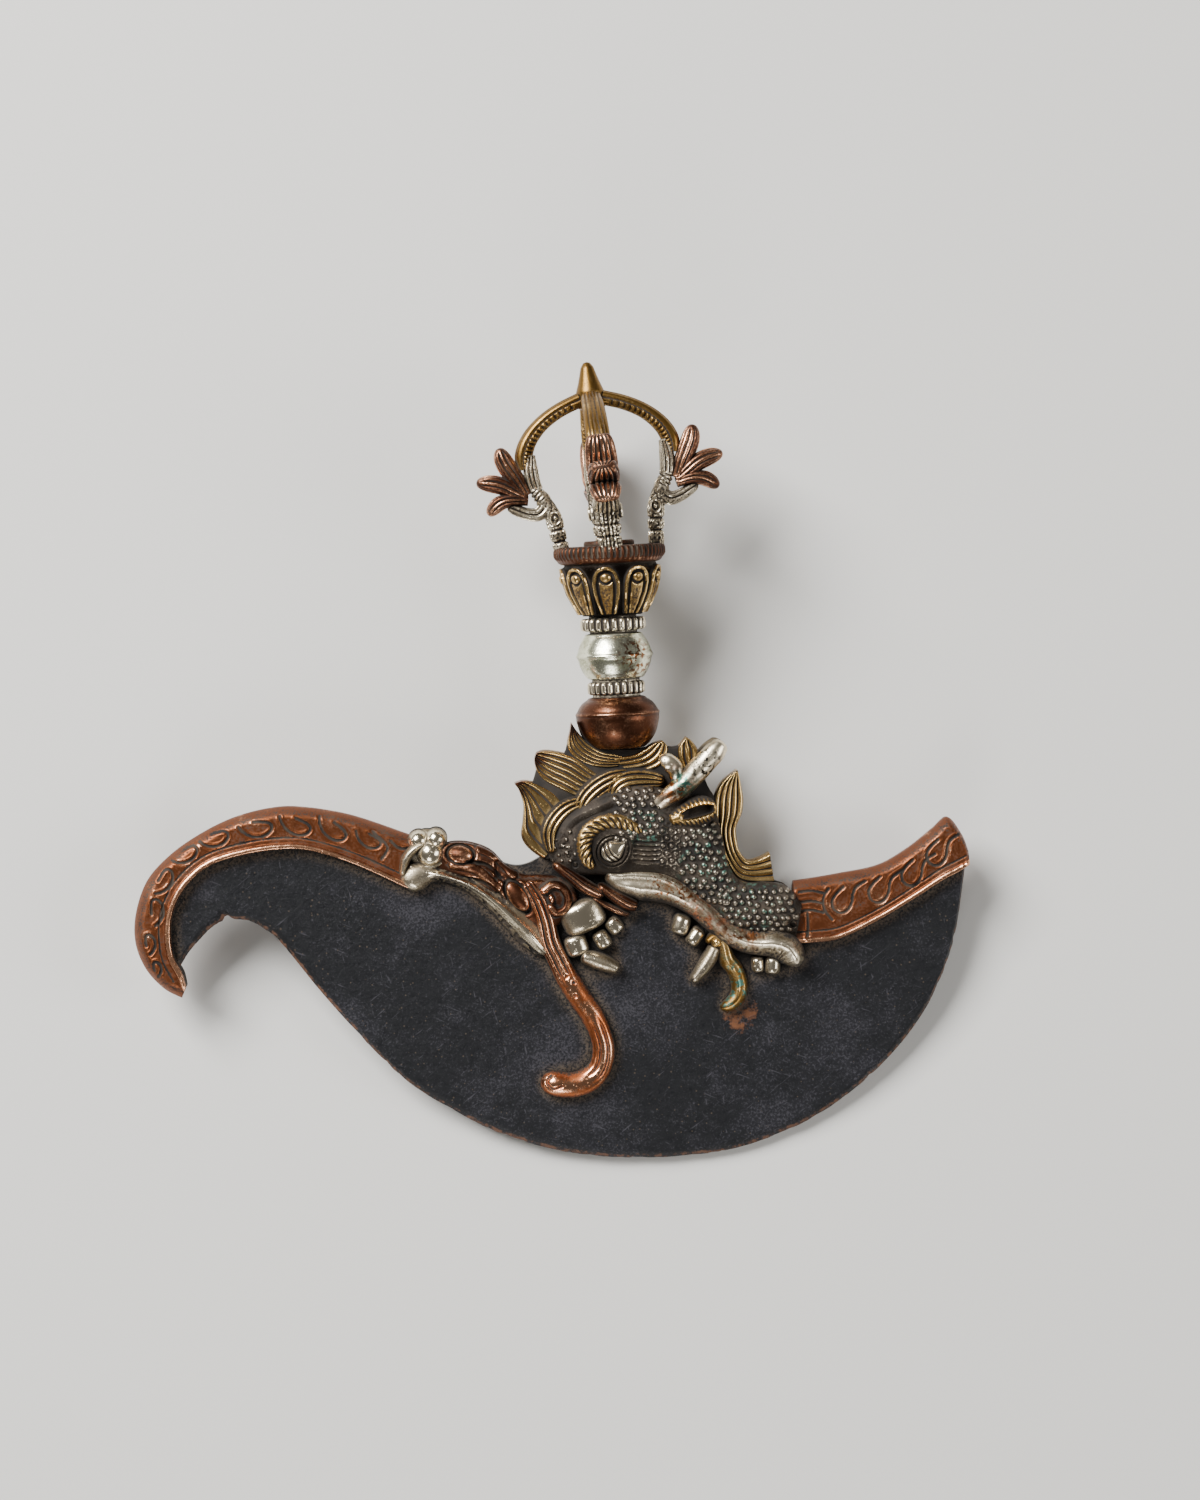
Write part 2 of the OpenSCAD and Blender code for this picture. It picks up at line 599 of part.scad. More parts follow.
module horn() {
    color(silver) joined_skin() difference() {
        horn_body();
        locks_slot();
    }
}

module skull() {
    color(dark_bronze) difference() {
        joined_skin() difference() {
            skull_body();
            lip_slot();
            bars_slot();
            slot(brow_path, brow_wide, inlay, brow_steps);
            slot(ear_path, ear_wide, inlay, ear_steps);
            horn_body();
            locks_slot();
        }
        translate([eye_at[0], eye_at[1], inlay]) cylinder(r = socket_r + seat, h = skull_rise);
        rivet_rods(slip);
    }
}

module eye_socket() {
    top = brow_rise + face - inlay - 0.4;
    color(silver) translate([eye_at[0], eye_at[1], inlay])
        rotate_extrude()
            polygon([[eye_r + seat, 0], [socket_r, 0], [socket_r, top - 0.5], [socket_r - 0.5, top],
                     [socket_r - 0.9, top - 0.4], [eye_r + seat, top - 0.6]]);
}

module eyeball() {
    rise = brow_rise + face - inlay;
    color(silver) translate([eye_at[0], eye_at[1], inlay])
        rotate_extrude()
            polygon([[0, 0], [eye_r, 0], [eye_r, rise - 1.4], [eye_r * 0.8, rise - 0.7],
                     [eye_r * 0.45, rise - 0.2], [0, rise]]);
}

module upper_lip() {
    color(silver) lip_body();
}

module mouth_bar() {
    color(copper) joined_skin() difference() {
        bars_body();
        lip_slot();
    }
}

whisker_steps = 14;

module whisker() {
    color(brass) joined_skin() difference() {
        strip(whisker_path, whisker_wide, [1, 1, 1, 1, 0.96, 0.92, 0.9, 0.86, 0.6], face,
              whisker_rise, whisker_steps);
        lip_slot();
    }
}

module upper_teeth() {
    color(silver) joined_skin() difference() {
        union() {
            for (spec = upper_teeth)
                tooth(spec);
            strip(fang_path, fang_wide, [1, 1, 0.7], face, tooth_rise, 5);
        }
        lip_slot();
        slot(whisker_path, whisker_wide, face, whisker_steps);
    }
}

tongue_steps = 26;

module tongue() {
    color(bright_copper) strip(tongue_path, tongue_wide, tongue_tops, face, tongue_rise, tongue_steps);
}

module tongue_slot() {
    slot(tongue_path, tongue_wide, face, tongue_steps);
}

under_lip_steps = 14;

module under_lip_body() {
    strip(under_lip_path, under_lip_wide, under_lip_tops, face, under_lip_rise, under_lip_steps);
}

module under_lip_slot() {
    slot(under_lip_path, under_lip_wide, face, under_lip_steps);
}

module lower_lip() {
    color(silver) joined_skin() difference() {
        under_lip_body();
        tongue_slot();
    }
}

// Domed stud with ten sides
module stud(spec) {
    loft([for (ring = [[0, 1], [0.5, 1], [0.8, 0.8], [0.96, 0.42]])
             [for (t = [18:36:360])
                 [spec[0] + spec[2] * ring[1] * cos(t), spec[1] + spec[2] * ring[1] * sin(t),
                  face + curl_rise * ring[0]]]]);
}

curl_steps = 4;
curl_wide = [0.9, 1.1, 0.8];

module jaw_curls() {
    color(silver) joined_skin() difference() {
        union() {
            for (spec = curls)
                stud(spec);
            strip(curl_strap, curl_wide, [0.8, 0.85, 0.8], face, curl_rise, curl_steps);
        }
        under_lip_slot();
    }
}

module curls_slot() {
    for (spec = curls)
        translate([spec[0], spec[1], face]) rotate(18) cylinder(r = spec[2], h = cut_h, $fn = 10);
    slot(curl_strap, curl_wide, face, curl_steps);
}

module lower_teeth_body() {
    for (spec = lower_teeth)
        tooth(spec);
    strip(under_fang_path, under_fang_wide, [1, 0.95, 0.7], face, tooth_rise, 5);
}

module lower_teeth() {
    color(silver) joined_skin() difference() {
        lower_teeth_body();
        tongue_slot();
        bars_slot();
    }
}

module lower_jaw() {
    color(copper) difference() {
        joined_skin() difference() {
            cheek(jaw_edges, jaw_tops, face, jaw_rise, 16);
            under_lip_slot();
            curls_slot();
            tongue_slot();
            bars_slot();
            lower_teeth_body();
        }
        rivet_rods(slip);
    }
}

module head_rivets() {
    color(copper) rivet_rods(0);
}

// Outline of a bead or cup, as radius and height, grown outwards by a seat gap
function bead_profile(pts, r, len, grow) =
    let (wide = max([for (p = pts) p[0]]), tall = pts[len(pts) - 1][1])
    concat([[0, -grow]],
           [for (p = curve(pts, 2 * len(pts) - 2)) [p[0] * r / wide + grow, p[1] * len / tall]],
           [[0, len + grow]]);

function copper_bead_profile(grow) =
    bead_profile([[4.4, 0], [6, 0.8], [7.5, 2.8], [8.2, 5], [8.4, 6.4], [8, 7.9], [7.2, 9.1], [6.1, 9.9],
                  [5, 10.4]], copper_bead_r, copper_bead_len, grow);

function silver_bead_profile() =
    bead_profile([[4.8, 0], [5.9, 1], [6.9, 2.9], [7.4, 4.2], [7.6, 4.8], [7.4, 5.5], [6.8, 6.8],
                  [5.9, 8.4], [5.1, 9.2]], silver_bead_r, silver_bead_len, 0);

// Rows of the cup: share of its height, share of its radius, and width of a petal there
cup_rows = [[0, 0.63, 0.7], [0.06, 0.67, 0.78], [0.22, 0.77, 0.9], [0.42, 0.88, 0.95], [0.62, 0.95, 0.95],
            [0.76, 0.98, 0.84], [0.86, 0.99, 0.62], [0.93, 1, 0.3], [1, 0.98, 0]];

function cup_profile(grow) =
    concat([[0, 0]], [for (row = cup_rows) [cup_r * row[1] + grow, cup_len * row[0]]], [[0, cup_len]]);

module bead_solid(profile) {
    rotate_extrude() polygon(profile);
}

module tang_bore() {
    translate([0, 0, -past]) cylinder(r = bore_r, h = cage_z);
}

module copper_bead() {
    color(copper) on_handle(bead_z) difference() {
        bead_solid(copper_bead_profile(0));
        tang_bore();
    }
}

// Cylinder with upright ribs round it
module ribbed_band(r, len, ribs, depth) {
    linear_extrude(len)
        polygon([for (k = [0:ribs - 1])
                    for (part = [[0.12, 1], [0.38, 1], [0.62, 0], [0.88, 0]])
                        let (t = 360 * (k + part[0]) / ribs)
                        (r - depth * (1 - part[1])) * [cos(t), sin(t)]]);
}

module ribbed_ring(r, height) {
    color(silver) on_handle(height) difference() {
        union() {
            cylinder(r = neck_r, h = ring_len + 2 * neck_len);
            translate([0, 0, neck_len]) cylinder(r = r - 0.6, h = ring_len);
            translate([0, 0, neck_len + 0.3]) ribbed_band(r, ring_len - 0.6, ring_ribs, 0.5);
        }
        tang_bore();
    }
}

module lower_ring() {
    ribbed_ring(lower_ring_r, lower_ring_z);
}

module upper_ring() {
    ribbed_ring(upper_ring_r, upper_ring_z);
}

module silver_bead() {
    color(silver) on_handle(silver_bead_z) difference() {
        bead_solid(silver_bead_profile());
        tang_bore();
    }
}

module lotus_cup() {
    color(dark_bronze) on_handle(cup_z) difference() {
        bead_solid(cup_profile(0));
        tang_bore();
    }
}

// One petal lying against the cup, round at its top
module petal() {
    rows = [for (k = [1:len(cup_rows) - 2]) cup_rows[k]];
    span = [-2:2];
    loft([for (row = rows)
             let (half = 90 / petals * row[2],
                  r = cup_r * row[1],
                  rim = [for (k = span) [r + petal_rise * (abs(k) == 2 ? 0.4 : 1), half * k]],
                  back = [for (k = span) [r + seat, -half * k]])
             [for (q = concat(rim, back)) [q[0] * cos(q[1]), q[0] * sin(q[1]), row[0] * cup_len]]],
         [for (k = [0:3]) [k, k + 1, 8 - k, 9 - k]]);
}

module lotus_petals() {
    color(brass) on_handle(cup_z)
        for (k = [0:petals - 1])
            rotate(360 * k / petals - 98) petal();
}

module ribbed_disc() {
    color(copper) on_handle(disc_z) difference() {
        union() {
            cylinder(r1 = disc_r - 1.6, r2 = disc_r - 0.7, h = 0.9);
            translate([0, 0, 0.9]) cylinder(r = disc_r - 0.5, h = disc_len - 0.9);
            translate([0, 0, 1.1]) ribbed_band(disc_r, disc_len - 1.4, disc_ribs, 0.4);
        }
        tang_bore();
    }
}

module tang_washer() {
    color(dark_bronze) on_handle(cage_z) difference() {
        cylinder(r = bore_r + 1.9, h = washer_len);
        translate([0, 0, -past]) cylinder(r = bore_r, h = washer_len + 2 * past);
    }
}

// Solid under a level of the handle, used to trim what stands on it
module below(height) {
    on_handle(height - 8) cylinder(r = 16, h = 8);
}

module middle_prong() {
    color(brass) difference() {
        in_cage() rotate_extrude()
            polygon([[0, 0], [rod_r, 0], [rod_r, cage_h - 9.8], [collar_r, cage_h - 9.2], [collar_r, cage_h - 5.7],
                     [2.4, cage_h - 4.6], [1.8, cage_h - 2.8], [1.3, cage_h - 1], [0.8, cage_h - 0.2], [0, cage_h]]);
        below(cage_z + washer_len);
    }
}

// Flat limb of a prong, along points given as distance from the axis and height
module limb_band(path, thick, wide, steps) {
    loft([for (k = [0:steps])
             let (u = k / steps,
                  p = at(path, u),
                  d = along(path, u),
                  a = at(thick, u) * 0.54,
                  b = at(wide, u) * 0.54)
             [for (t = [22.5:45:360])
                 [p[0] + d[1] * a * cos(t), b * sin(t), p[1] - d[0] * a * cos(t)]]]);
}

throat_path = [[prong_foot, -1.4], [prong_foot + 0.2, 1.5], [prong_foot + 0.6, 4], [10.8, 7], [12, 9.4],
               [13.2, 11.6], [13.9, 14], [14.1, 16.4], [13.9, 18.4], [13.6, 19.6]];
scroll_path = [[11.4, 7.9], [13.4, 7.5], [16, 8], [18.2, 8.8], [19.8, 10.1]];
flame_paths = [[[14.2, 13.4], [16.2, 15], [17.7, 17.2], [19, 19.2], [20.2, 21.2]],
               [[14.4, 12.6], [17, 13.3], [19.8, 14.1], [prong_reach - 2.4, 14.9], [prong_reach, 15.8]],
               [[14.2, 11.6], [17.4, 12.2], [20, 12], [21.8, 10.8], [22.8, 8.6]]];
arm_path = [[14.1, 18.2], [13.6, 20.6], [12.5, 22.8], [10, 26], [6.2, cage_h - 8.4], [2.2, cage_h - 7.3]];

module throat_body() {
    limb_band(throat_path, [3, 2.8, 3.3, 3, 3, 2.7, 2.6, 2.6, 2.6, 2.4],
              [4.8, 4.8, 5.2, 5, 5.6, 5.6, 5.6, 5.6, 5.4, 5], 14);
    limb_band(scroll_path, [2.2, 2.4, 2.2, 1.8, 1.1], [5, 5.4, 5.4, 5, 4.4], 6);
}

module flames_body() {
    for (path = flame_paths)
        limb_band(path, [1.8, 2.2, 2.3, 3, 1], [5, 6, 6, 5.2, 2.4], 7);
}

module arm_body() {
    limb_band(arm_path, [2, 2.8, 2.9, 2.8, 2.7, 2.6], [4.4, 4.8, 4.8, 4.7, 4.6, 3.6], 10);
}

module prong_throat(turn) {
    color(silver) joined_skin() difference() {
        in_cage() rotate(turn) throat_body();
        below(cage_z);
    }
}

module prong_flames(turn) {
    color(bright_copper) in_cage() rotate(turn) joined_skin() difference() {
        flames_body();
        throat_body();
    }
}

module prong_arm(turn) {
    color(brass) in_cage() rotate(turn) joined_skin() difference() {
        arm_body();
        throat_body();
        flames_body();
        cylinder(r = collar_r + seat, h = cage_h);
    }
}

lying() blade_plate();
lying() hook_sheath();
lying() tip_sheath();
lying() mane_crest();
lying() mane_fin();
lying() skull();  // skull_front
lying() mirror([0, 0, 1]) skull();  // skull_back
lying() mane_locks();  // mane_locks_front
lying() mirror([0, 0, 1]) mane_locks();  // mane_locks_back
lying() horn();  // horn_front
lying() mirror([0, 0, 1]) horn();  // horn_back
lying() ear();  // ear_front
lying() mirror([0, 0, 1]) ear();  // ear_back
lying() brow();  // brow_front
lying() mirror([0, 0, 1]) brow();  // brow_back
lying() eye_socket();  // eye_socket_front
lying() mirror([0, 0, 1]) eye_socket();  // eye_socket_back
lying() eyeball();  // eyeball_front
lying() mirror([0, 0, 1]) eyeball();  // eyeball_back
lying() upper_lip();  // upper_lip_front
lying() mirror([0, 0, 1]) upper_lip();  // upper_lip_back
lying() mouth_bar();  // mouth_bar_front
lying() mirror([0, 0, 1]) mouth_bar();  // mouth_bar_back
lying() upper_teeth();  // upper_teeth_front
lying() mirror([0, 0, 1]) upper_teeth();  // upper_teeth_back
lying() whisker();  // whisker_front
lying() mirror([0, 0, 1]) whisker();  // whisker_back
lying() lower_jaw();  // lower_jaw_front
lying() mirror([0, 0, 1]) lower_jaw();  // lower_jaw_back
lying() lower_lip();  // lower_lip_front
lying() mirror([0, 0, 1]) lower_lip();  // lower_lip_back
lying() jaw_curls();  // jaw_curls_front
lying() mirror([0, 0, 1]) jaw_curls();  // jaw_curls_back
lying() lower_teeth();  // lower_teeth_front
lying() mirror([0, 0, 1]) lower_teeth();  // lower_teeth_back
lying() tongue();  // tongue_front
lying() mirror([0, 0, 1]) tongue();  // tongue_back
lying() head_rivets();
lying() copper_bead();
lying() lower_ring();
lying() silver_bead();
lying() upper_ring();
lying() lotus_cup();
lying() lotus_petals();
lying() ribbed_disc();
lying() tang_washer();
lying() middle_prong();
lying() prong_throat(180);  // prong_throat_left
lying() prong_throat(0);  // prong_throat_right
lying() prong_throat(270);  // prong_throat_front
lying() prong_throat(90);  // prong_throat_back
lying() prong_flames(180);  // prong_flames_left
lying() prong_flames(0);  // prong_flames_right
lying() prong_flames(270);  // prong_flames_front
lying() prong_flames(90);  // prong_flames_back
lying() prong_arm(180);  // prong_arm_left
lying() prong_arm(0);  // prong_arm_right
lying() prong_arm(270);  // prong_arm_front
lying() prong_arm(90);  // prong_arm_back
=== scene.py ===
"""A ritual chopper: a crescent blade, a sea-dragon head and a caged thunderbolt handle, laid on a table.

Every ornament is drawn flat in millimetres, with +X to the snout, +Y up the handle and +Z to the viewer,
and is then laid down in the way the object rests on its flames, tongue and lip.
"""

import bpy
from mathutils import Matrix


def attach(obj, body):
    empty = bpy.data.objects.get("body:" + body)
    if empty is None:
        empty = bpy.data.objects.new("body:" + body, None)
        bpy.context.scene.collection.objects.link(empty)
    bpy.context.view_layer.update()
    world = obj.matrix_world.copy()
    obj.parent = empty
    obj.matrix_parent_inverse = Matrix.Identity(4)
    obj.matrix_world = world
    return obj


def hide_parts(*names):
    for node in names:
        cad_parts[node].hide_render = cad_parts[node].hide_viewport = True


bl_info = {
    "name": "Ritual chopper", "version": (1, 0, 0), "blender": (4, 5, 0),
    "location": "View3D > Sidebar > Chopper",
    "description": "Chased, engraved and patinated metalwork around the packed solids of a ritual chopper",
    "category": "Object"
}

import math

import bpy
import numpy as np
from mathutils import Matrix, Vector

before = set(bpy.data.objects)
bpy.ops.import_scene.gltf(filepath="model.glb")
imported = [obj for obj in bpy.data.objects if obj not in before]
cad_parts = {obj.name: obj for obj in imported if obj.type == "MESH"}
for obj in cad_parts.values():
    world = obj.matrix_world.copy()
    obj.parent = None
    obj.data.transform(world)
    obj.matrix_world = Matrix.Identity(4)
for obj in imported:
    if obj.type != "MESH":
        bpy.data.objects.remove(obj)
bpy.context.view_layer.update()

MM = 0.001
FACE = 1.5  # half the blade's thickness
MANE_FACE = 3.0  # half the crest's thickness
CHEEK = FACE - 0.1  # the bare field is filed a little below the ground under the ornament
FOOT = FACE - 0.2  # relief stands this low, so that no gap shows under its rim
HANDLE_LEAN, CAGE_LEAN = 3.2, 4.2
AXIS_FOOT = (3.9, 0.0)
BEAD_Z, LOWER_RING_Z, SILVER_BEAD_Z, UPPER_RING_Z = 0.4, 10.8, 14.4, 23.6
CUP_Z, DISC_Z, CAGE_Z = 27.2, 37.6, 41.2
EDGE_HALF = 0.32  # half the thickness of the cutting edge
GRIND = 1.6  # width of the ground strip along it
NOTCH, NOTCH_DEPTH = (-74.6, -34.6), 1.1
CHEEK_RIM = 0.45  # share of a cheek's height that stands at its rim
CREST_CORE, CREST_RIM = 2.6, 0.3  # half the plain plate under the crest's locks, and its rounded rim
EYE_AT, EYE_TURN = (2.4, -19.9), 32
CUP_RADIUS, CUP_HEIGHT = 9.4, 10.4
# Share of the cup's height and share of its radius there
CUP_PROFILE = (
    (0, 0.63), (0.06, 0.67), (0.22, 0.77), (0.42, 0.88), (0.62, 0.95), (0.76, 0.98), (0.86, 0.99),
    (0.93, 1), (1, 0.98)
)
SPIKE_TOP = 37  # above the washer
PETALS, FIRST_PETAL, PETAL_HALF, PETAL_HALF_TURN = 9, -98, 3.1, 19.4
REST_TILT, REST_ROLL, REST_LIFT = 9.238, 1.835, 15.4815
REST_MIDDLE = (-9.62, -2.27)


def turn_by(degrees, axis="Z"):
    """A turn about one axis."""
    return Matrix.Rotation(math.radians(degrees), 4, axis)


LIE = Matrix.Translation(Vector((-REST_MIDDLE[0], -REST_MIDDLE[1], REST_LIFT)) * MM)
LIE = LIE @ turn_by(REST_ROLL, "Y") @ turn_by(REST_TILT, "X")
BACK_FACE = Matrix.Scale(-1, 4, (0, 0, 1))
AS_DRAWN = Matrix()

SMOOTH_ANGLE = math.radians(48)  # an edge sharper than this stays crisp
MERGE = 2e-7  # metres between vertices that are one
LINE_STEPS = 6  # steps between two points of an engraved line
ROW_STEP = 0.866  # between offset rows, as a share of their pitch

FLOOR_SIZE = 3
ROOM_COLOUR, ROOM_LIGHT = (0.78, 0.76, 0.74, 1), 0.15
SENSOR_MM, LENS_MM = 36, 135
SOFT_BOXES = (
    ("window_left_above", (-0.7, 0.6, 0.95), 0.7, 42), ("fill_right", (0.95, -0.1, 0.6), 0.5, 5),
    ("strip_below", (-0.15, -0.95, 0.5), 0.4, 4)
)

# Settings that several nodes share
SOFT_STEP = {"interpolation_type": "SMOOTHSTEP"}
TIMES = {"operation": "MULTIPLY"}
RGBA = {"data_type": "RGBA", "result": 2}


def on_handle(height):
    """Frame whose Z runs up the handle, at a height in millimetres above the crest's saddle."""
    foot = Matrix.Translation(Vector((*AXIS_FOOT, 0)) * MM)
    return foot @ turn_by(HANDLE_LEAN) @ Matrix.Translation((0, height * MM, 0)) @ turn_by(-90, "X")


def in_cage(turn=0.0):
    """Frame of the cage, turned round its own axis."""
    return on_handle(CAGE_Z) @ turn_by(-CAGE_LEAN, "Y") @ turn_by(turn)


# Drawing aids


def curve_at(points, u):
    """Places on a smooth curve through given points, for u from 0 to 1."""
    points, u = np.asarray(points, float), np.asarray(u, float)
    last = len(points) - 1
    step = np.clip(np.floor(u * last).astype(int), 0, last - 1)
    t = u * last - step
    if points.ndim > 1:
        t = t[..., None]
    a, b = points[np.maximum(step - 1, 0)], points[step]
    c, d = points[step + 1], points[np.minimum(step + 2, last)]
    return b + (t * (c - a) + t**2 * (2 * a - 5 * b + 4 * c - d) + t**3 * (3 * b - 3 * c + d - a)) / 2


def left_of(points, u):
    """Left-hand normals of a flat curve."""
    d = curve_at(points, np.minimum(u + 0.005, 1)) - curve_at(points, np.maximum(u - 0.005, 0))
    d /= np.linalg.norm(d, axis=-1, keepdims=True)
    return np.stack([-d[..., 1], d[..., 0]], axis=-1)


def clamp(x):
    """Values held between 0 and 1."""
    return np.clip(x, 0, 1)


def eased(x, low, high):
    """0 below low, 1 above high and a soft step between."""
    t = clamp((x - low) / (high - low))
    return t * t * (3 - 2 * t)


def bell(x, wide):
    """1 at 0, falling off softly over a width."""
    return np.exp(-((x / wide) ** 2))


def grid_of(along, across):
    """Two sets of values spread over a grid, the first along its rows and the second across them."""
    return along[:, None] * np.ones(len(across)), across[None, :] * np.ones((len(along), 1))


def round_turn(count):
    """Angles of places spread evenly round a circle."""
    return np.arange(count) / count * 2 * np.pi


def cos_sin(degrees):
    """Cosine and sine of an angle in degrees."""
    return math.cos(math.radians(degrees)), math.sin(math.radians(degrees))


def about_axis(r, angle, z):
    """Places round an upright axis."""
    return np.stack([r * np.cos(angle), r * np.sin(angle), z], axis=-1)


def with_height(xy, z):
    """Flat places with a height for each."""
    return np.concatenate([xy, z[..., None]], axis=-1)


def rounded_end(u, start, stop):
    """Share of the full width along a strip whose two ends are round over those shares of its length."""
    share = np.ones_like(u)
    for x, length in ((u, start), (1 - u, stop)):
        if length:
            share = share * np.sqrt(np.clip(1 - (1 - clamp(x / length)) ** 2, 0.0004, 1))
    return share


def distance_to(xy, lines):
    """Distance from flat places to the nearest of some smooth lines."""
    nearest = np.full(xy.shape[:-1], np.inf)
    for line in lines:
        drawn = np.array(line)
        if len(line) > 2:
            drawn = curve_at(line, np.linspace(0, 1, (len(line) - 1) * LINE_STEPS + 1))
        for p, q in zip(drawn[:-1], drawn[1:]):
            d = q - p
            t = clamp(((xy - p) @ d) / (d @ d + 1e-12))
            gap = xy - p - t[..., None] * d
            nearest = np.minimum(nearest, np.hypot(gap[..., 0], gap[..., 1]))
    return nearest


def engraved(xy, lines, wide, deep):
    """Depth of V-shaped strokes, as negative heights."""
    return -deep * clamp(1 - distance_to(xy, lines) / (wide / 2)) ** 0.7


def raised(xy, lines, wide, tall):
    """Half-round ridges along some lines."""
    return tall * np.sqrt(clamp(1 - (distance_to(xy, lines) / (wide / 2)) ** 2))


def strands(across, count, sharp=0.6):
    """Rounded ridges side by side with narrow grooves between, for across from 0 to 1."""
    return np.abs(np.sin(np.pi * count * across)) ** sharp


def spread_over(low, high, pitch, seed, loose=0.22):
    """Places of punch marks in offset rows over a rectangle, a little out of line."""
    shake = np.random.default_rng(seed)
    places = []
    for k, y in enumerate(np.arange(low[1], high[1], pitch * ROW_STEP)):
        for x in np.arange(low[0] + (k % 2) * pitch / 2, high[0], pitch):
            places.append((x, y) + shake.uniform(-loose, loose, 2) * pitch)
    return np.array(places)


def grained(shape, cell, seed):
    """Smooth random field from -1 to 1 over a grid, with features some cells wide."""
    shake = np.random.default_rng(seed)
    rows, columns = (max(2, int(math.ceil(n / cell)) + 2) for n in shape)
    coarse = shake.uniform(-1, 1, (rows, columns))
    r, c = (np.arange(n) / cell for n in shape)
    ri, ci = np.floor(r).astype(int), np.floor(c).astype(int)
    rt, ct = (x - np.floor(x) for x in (r, c))
    rt, ct = (rt * rt * (3 - 2 * rt))[:, None], (ct * ct * (3 - 2 * ct))[None, :]
    corner = lambda i, j: coarse[np.ix_(ri + i, ci + j)]
    return (
        (corner(0, 0) * (1 - rt) + corner(1, 0) * rt) * (1 - ct)
        + (corner(0, 1) * (1 - rt) + corner(1, 1) * rt) * ct
    )


def softened(field, cells):
    """A field blurred over some cells each way."""
    width = 2 * cells
    for axis in (0, 1):
        before, after = (np.repeat(field.take([end], axis), cells, axis) for end in (0, -1))
        total = np.cumsum(np.concatenate([before, field, after], axis), axis)
        n = field.shape[axis]
        field = (total.take(np.arange(width, width + n), axis) - total.take(np.arange(0, n), axis)) / width
    return field


def rubbed(height, cells, span):
    """How much hands have rubbed each place: 1 on what stands proud of its surroundings, 0 in hollows."""
    return clamp(0.5 + (height - softened(height, cells)) / span)


def rubbed_round(height, span):
    """The same for rows that are rings, which go on where they end."""
    return rubbed(np.concatenate([height, height], axis=1), 3, span)[:, : height.shape[1]]


# Mesh work


def deselect():
    bpy.ops.object.select_all(action="DESELECT")


def edit(obj, *steps):
    """Runs edit-mode steps on one object, with nothing selected at the start."""
    deselect()
    obj.select_set(True)
    bpy.context.view_layer.objects.active = obj
    bpy.ops.object.mode_set(mode="EDIT")
    bpy.ops.mesh.select_mode(type="EDGE")
    bpy.ops.mesh.select_all(action="DESELECT")
    for step in steps:
        step()
    bpy.ops.object.mode_set(mode="OBJECT")


def laid_grid(rows, worn):
    """A grid primitive whose vertices are laid on rows of places in millimetres, each as worn as given."""
    count, width = rows.shape[:2]
    deselect()
    bpy.ops.mesh.primitive_grid_add(
        x_subdivisions=width - 1, y_subdivisions=count - 1, size=2, calc_uvs=False
    )
    obj = bpy.context.object
    mesh = obj.data
    flat = np.empty(len(mesh.vertices) * 3, np.float32)
    mesh.vertices.foreach_get("co", flat)
    across, along = flat.reshape(-1, 3)[:, :2].T
    row = np.rint((along + 1) / 2 * (count - 1)).astype(int)
    column = np.rint((across + 1) / 2 * (width - 1)).astype(int)
    mesh.vertices.foreach_set("co", (rows[row, column] * MM).astype(np.float32).ravel())
    wear = mesh.attributes.new("worn", "FLOAT", "POINT")
    wear.data.foreach_set("value", np.broadcast_to(worn, (count, width))[row, column].astype(np.float32))
    return obj


def face_outwards():
    bpy.ops.mesh.select_all(action="SELECT")
    bpy.ops.mesh.normals_make_consistent(inside=False)


def relief(rows, worn, foot):
    """A raised form whose rim drops to a flat foot."""
    obj = laid_grid(rows, worn)

    def drop_rim():
        bpy.ops.mesh.select_non_manifold()
        bpy.ops.mesh.extrude_edges_move()
        bpy.ops.transform.resize(value=(1, 1, 0), center_override=(0, 0, foot * MM))
        bpy.ops.mesh.edge_face_add()

    edit(obj, drop_rim, face_outwards)
    return obj


def tube(rows, worn):
    """A form whose rows are closed rings, with its ends closed."""
    worn = np.broadcast_to(worn, rows.shape[:2])
    obj = laid_grid(*(np.concatenate([grid, grid[:, :1]], axis=1) for grid in (rows, worn)))

    def close():
        bpy.ops.mesh.select_all(action="SELECT")
        bpy.ops.mesh.remove_doubles(threshold=MERGE)
        bpy.ops.mesh.select_all(action="DESELECT")
        bpy.ops.mesh.select_non_manifold()
        bpy.ops.mesh.fill_holes(sides=0)

    edit(obj, close, face_outwards)
    return obj


def two_faced(front, worn):
    """A form whose back face mirrors its front."""
    back = front[:, ::-1] * (1, 1, -1)
    return tube(*(np.concatenate(pair, axis=1) for pair in ((front, back), (worn, worn[:, ::-1]))))


def strip(path, wide, tops, foot, rise, count, across, ends, side=0.35, detail=None, span=0.5):
    """A raised strip along a centre line; detail gives extra height from places, u and v."""
    u, v = grid_of(np.linspace(0, 1, count), np.cos(np.linspace(0, np.pi, across)))
    share = rounded_end(u, *ends)
    xy = curve_at(path, u) + left_of(path, u) * (curve_at(wide, u) * share * v)[..., None]
    crown = np.sqrt(clamp(1 - v * v))
    top = (FACE + rise * curve_at(tops, u) - foot) * (0.3 + 0.7 * share)
    height = foot + top * (side + (1 - side) * crown)
    extra = detail(xy, u, v) if detail else np.zeros_like(height)
    proud = rubbed(extra, 5, span) * 0.75 + 0.45 * crown**2 - 0.15
    worn = clamp(proud + 0.4 * np.minimum(extra + 0.3, 0))
    return relief(with_height(xy, height + extra * (0.25 + 0.75 * crown)), worn, foot)


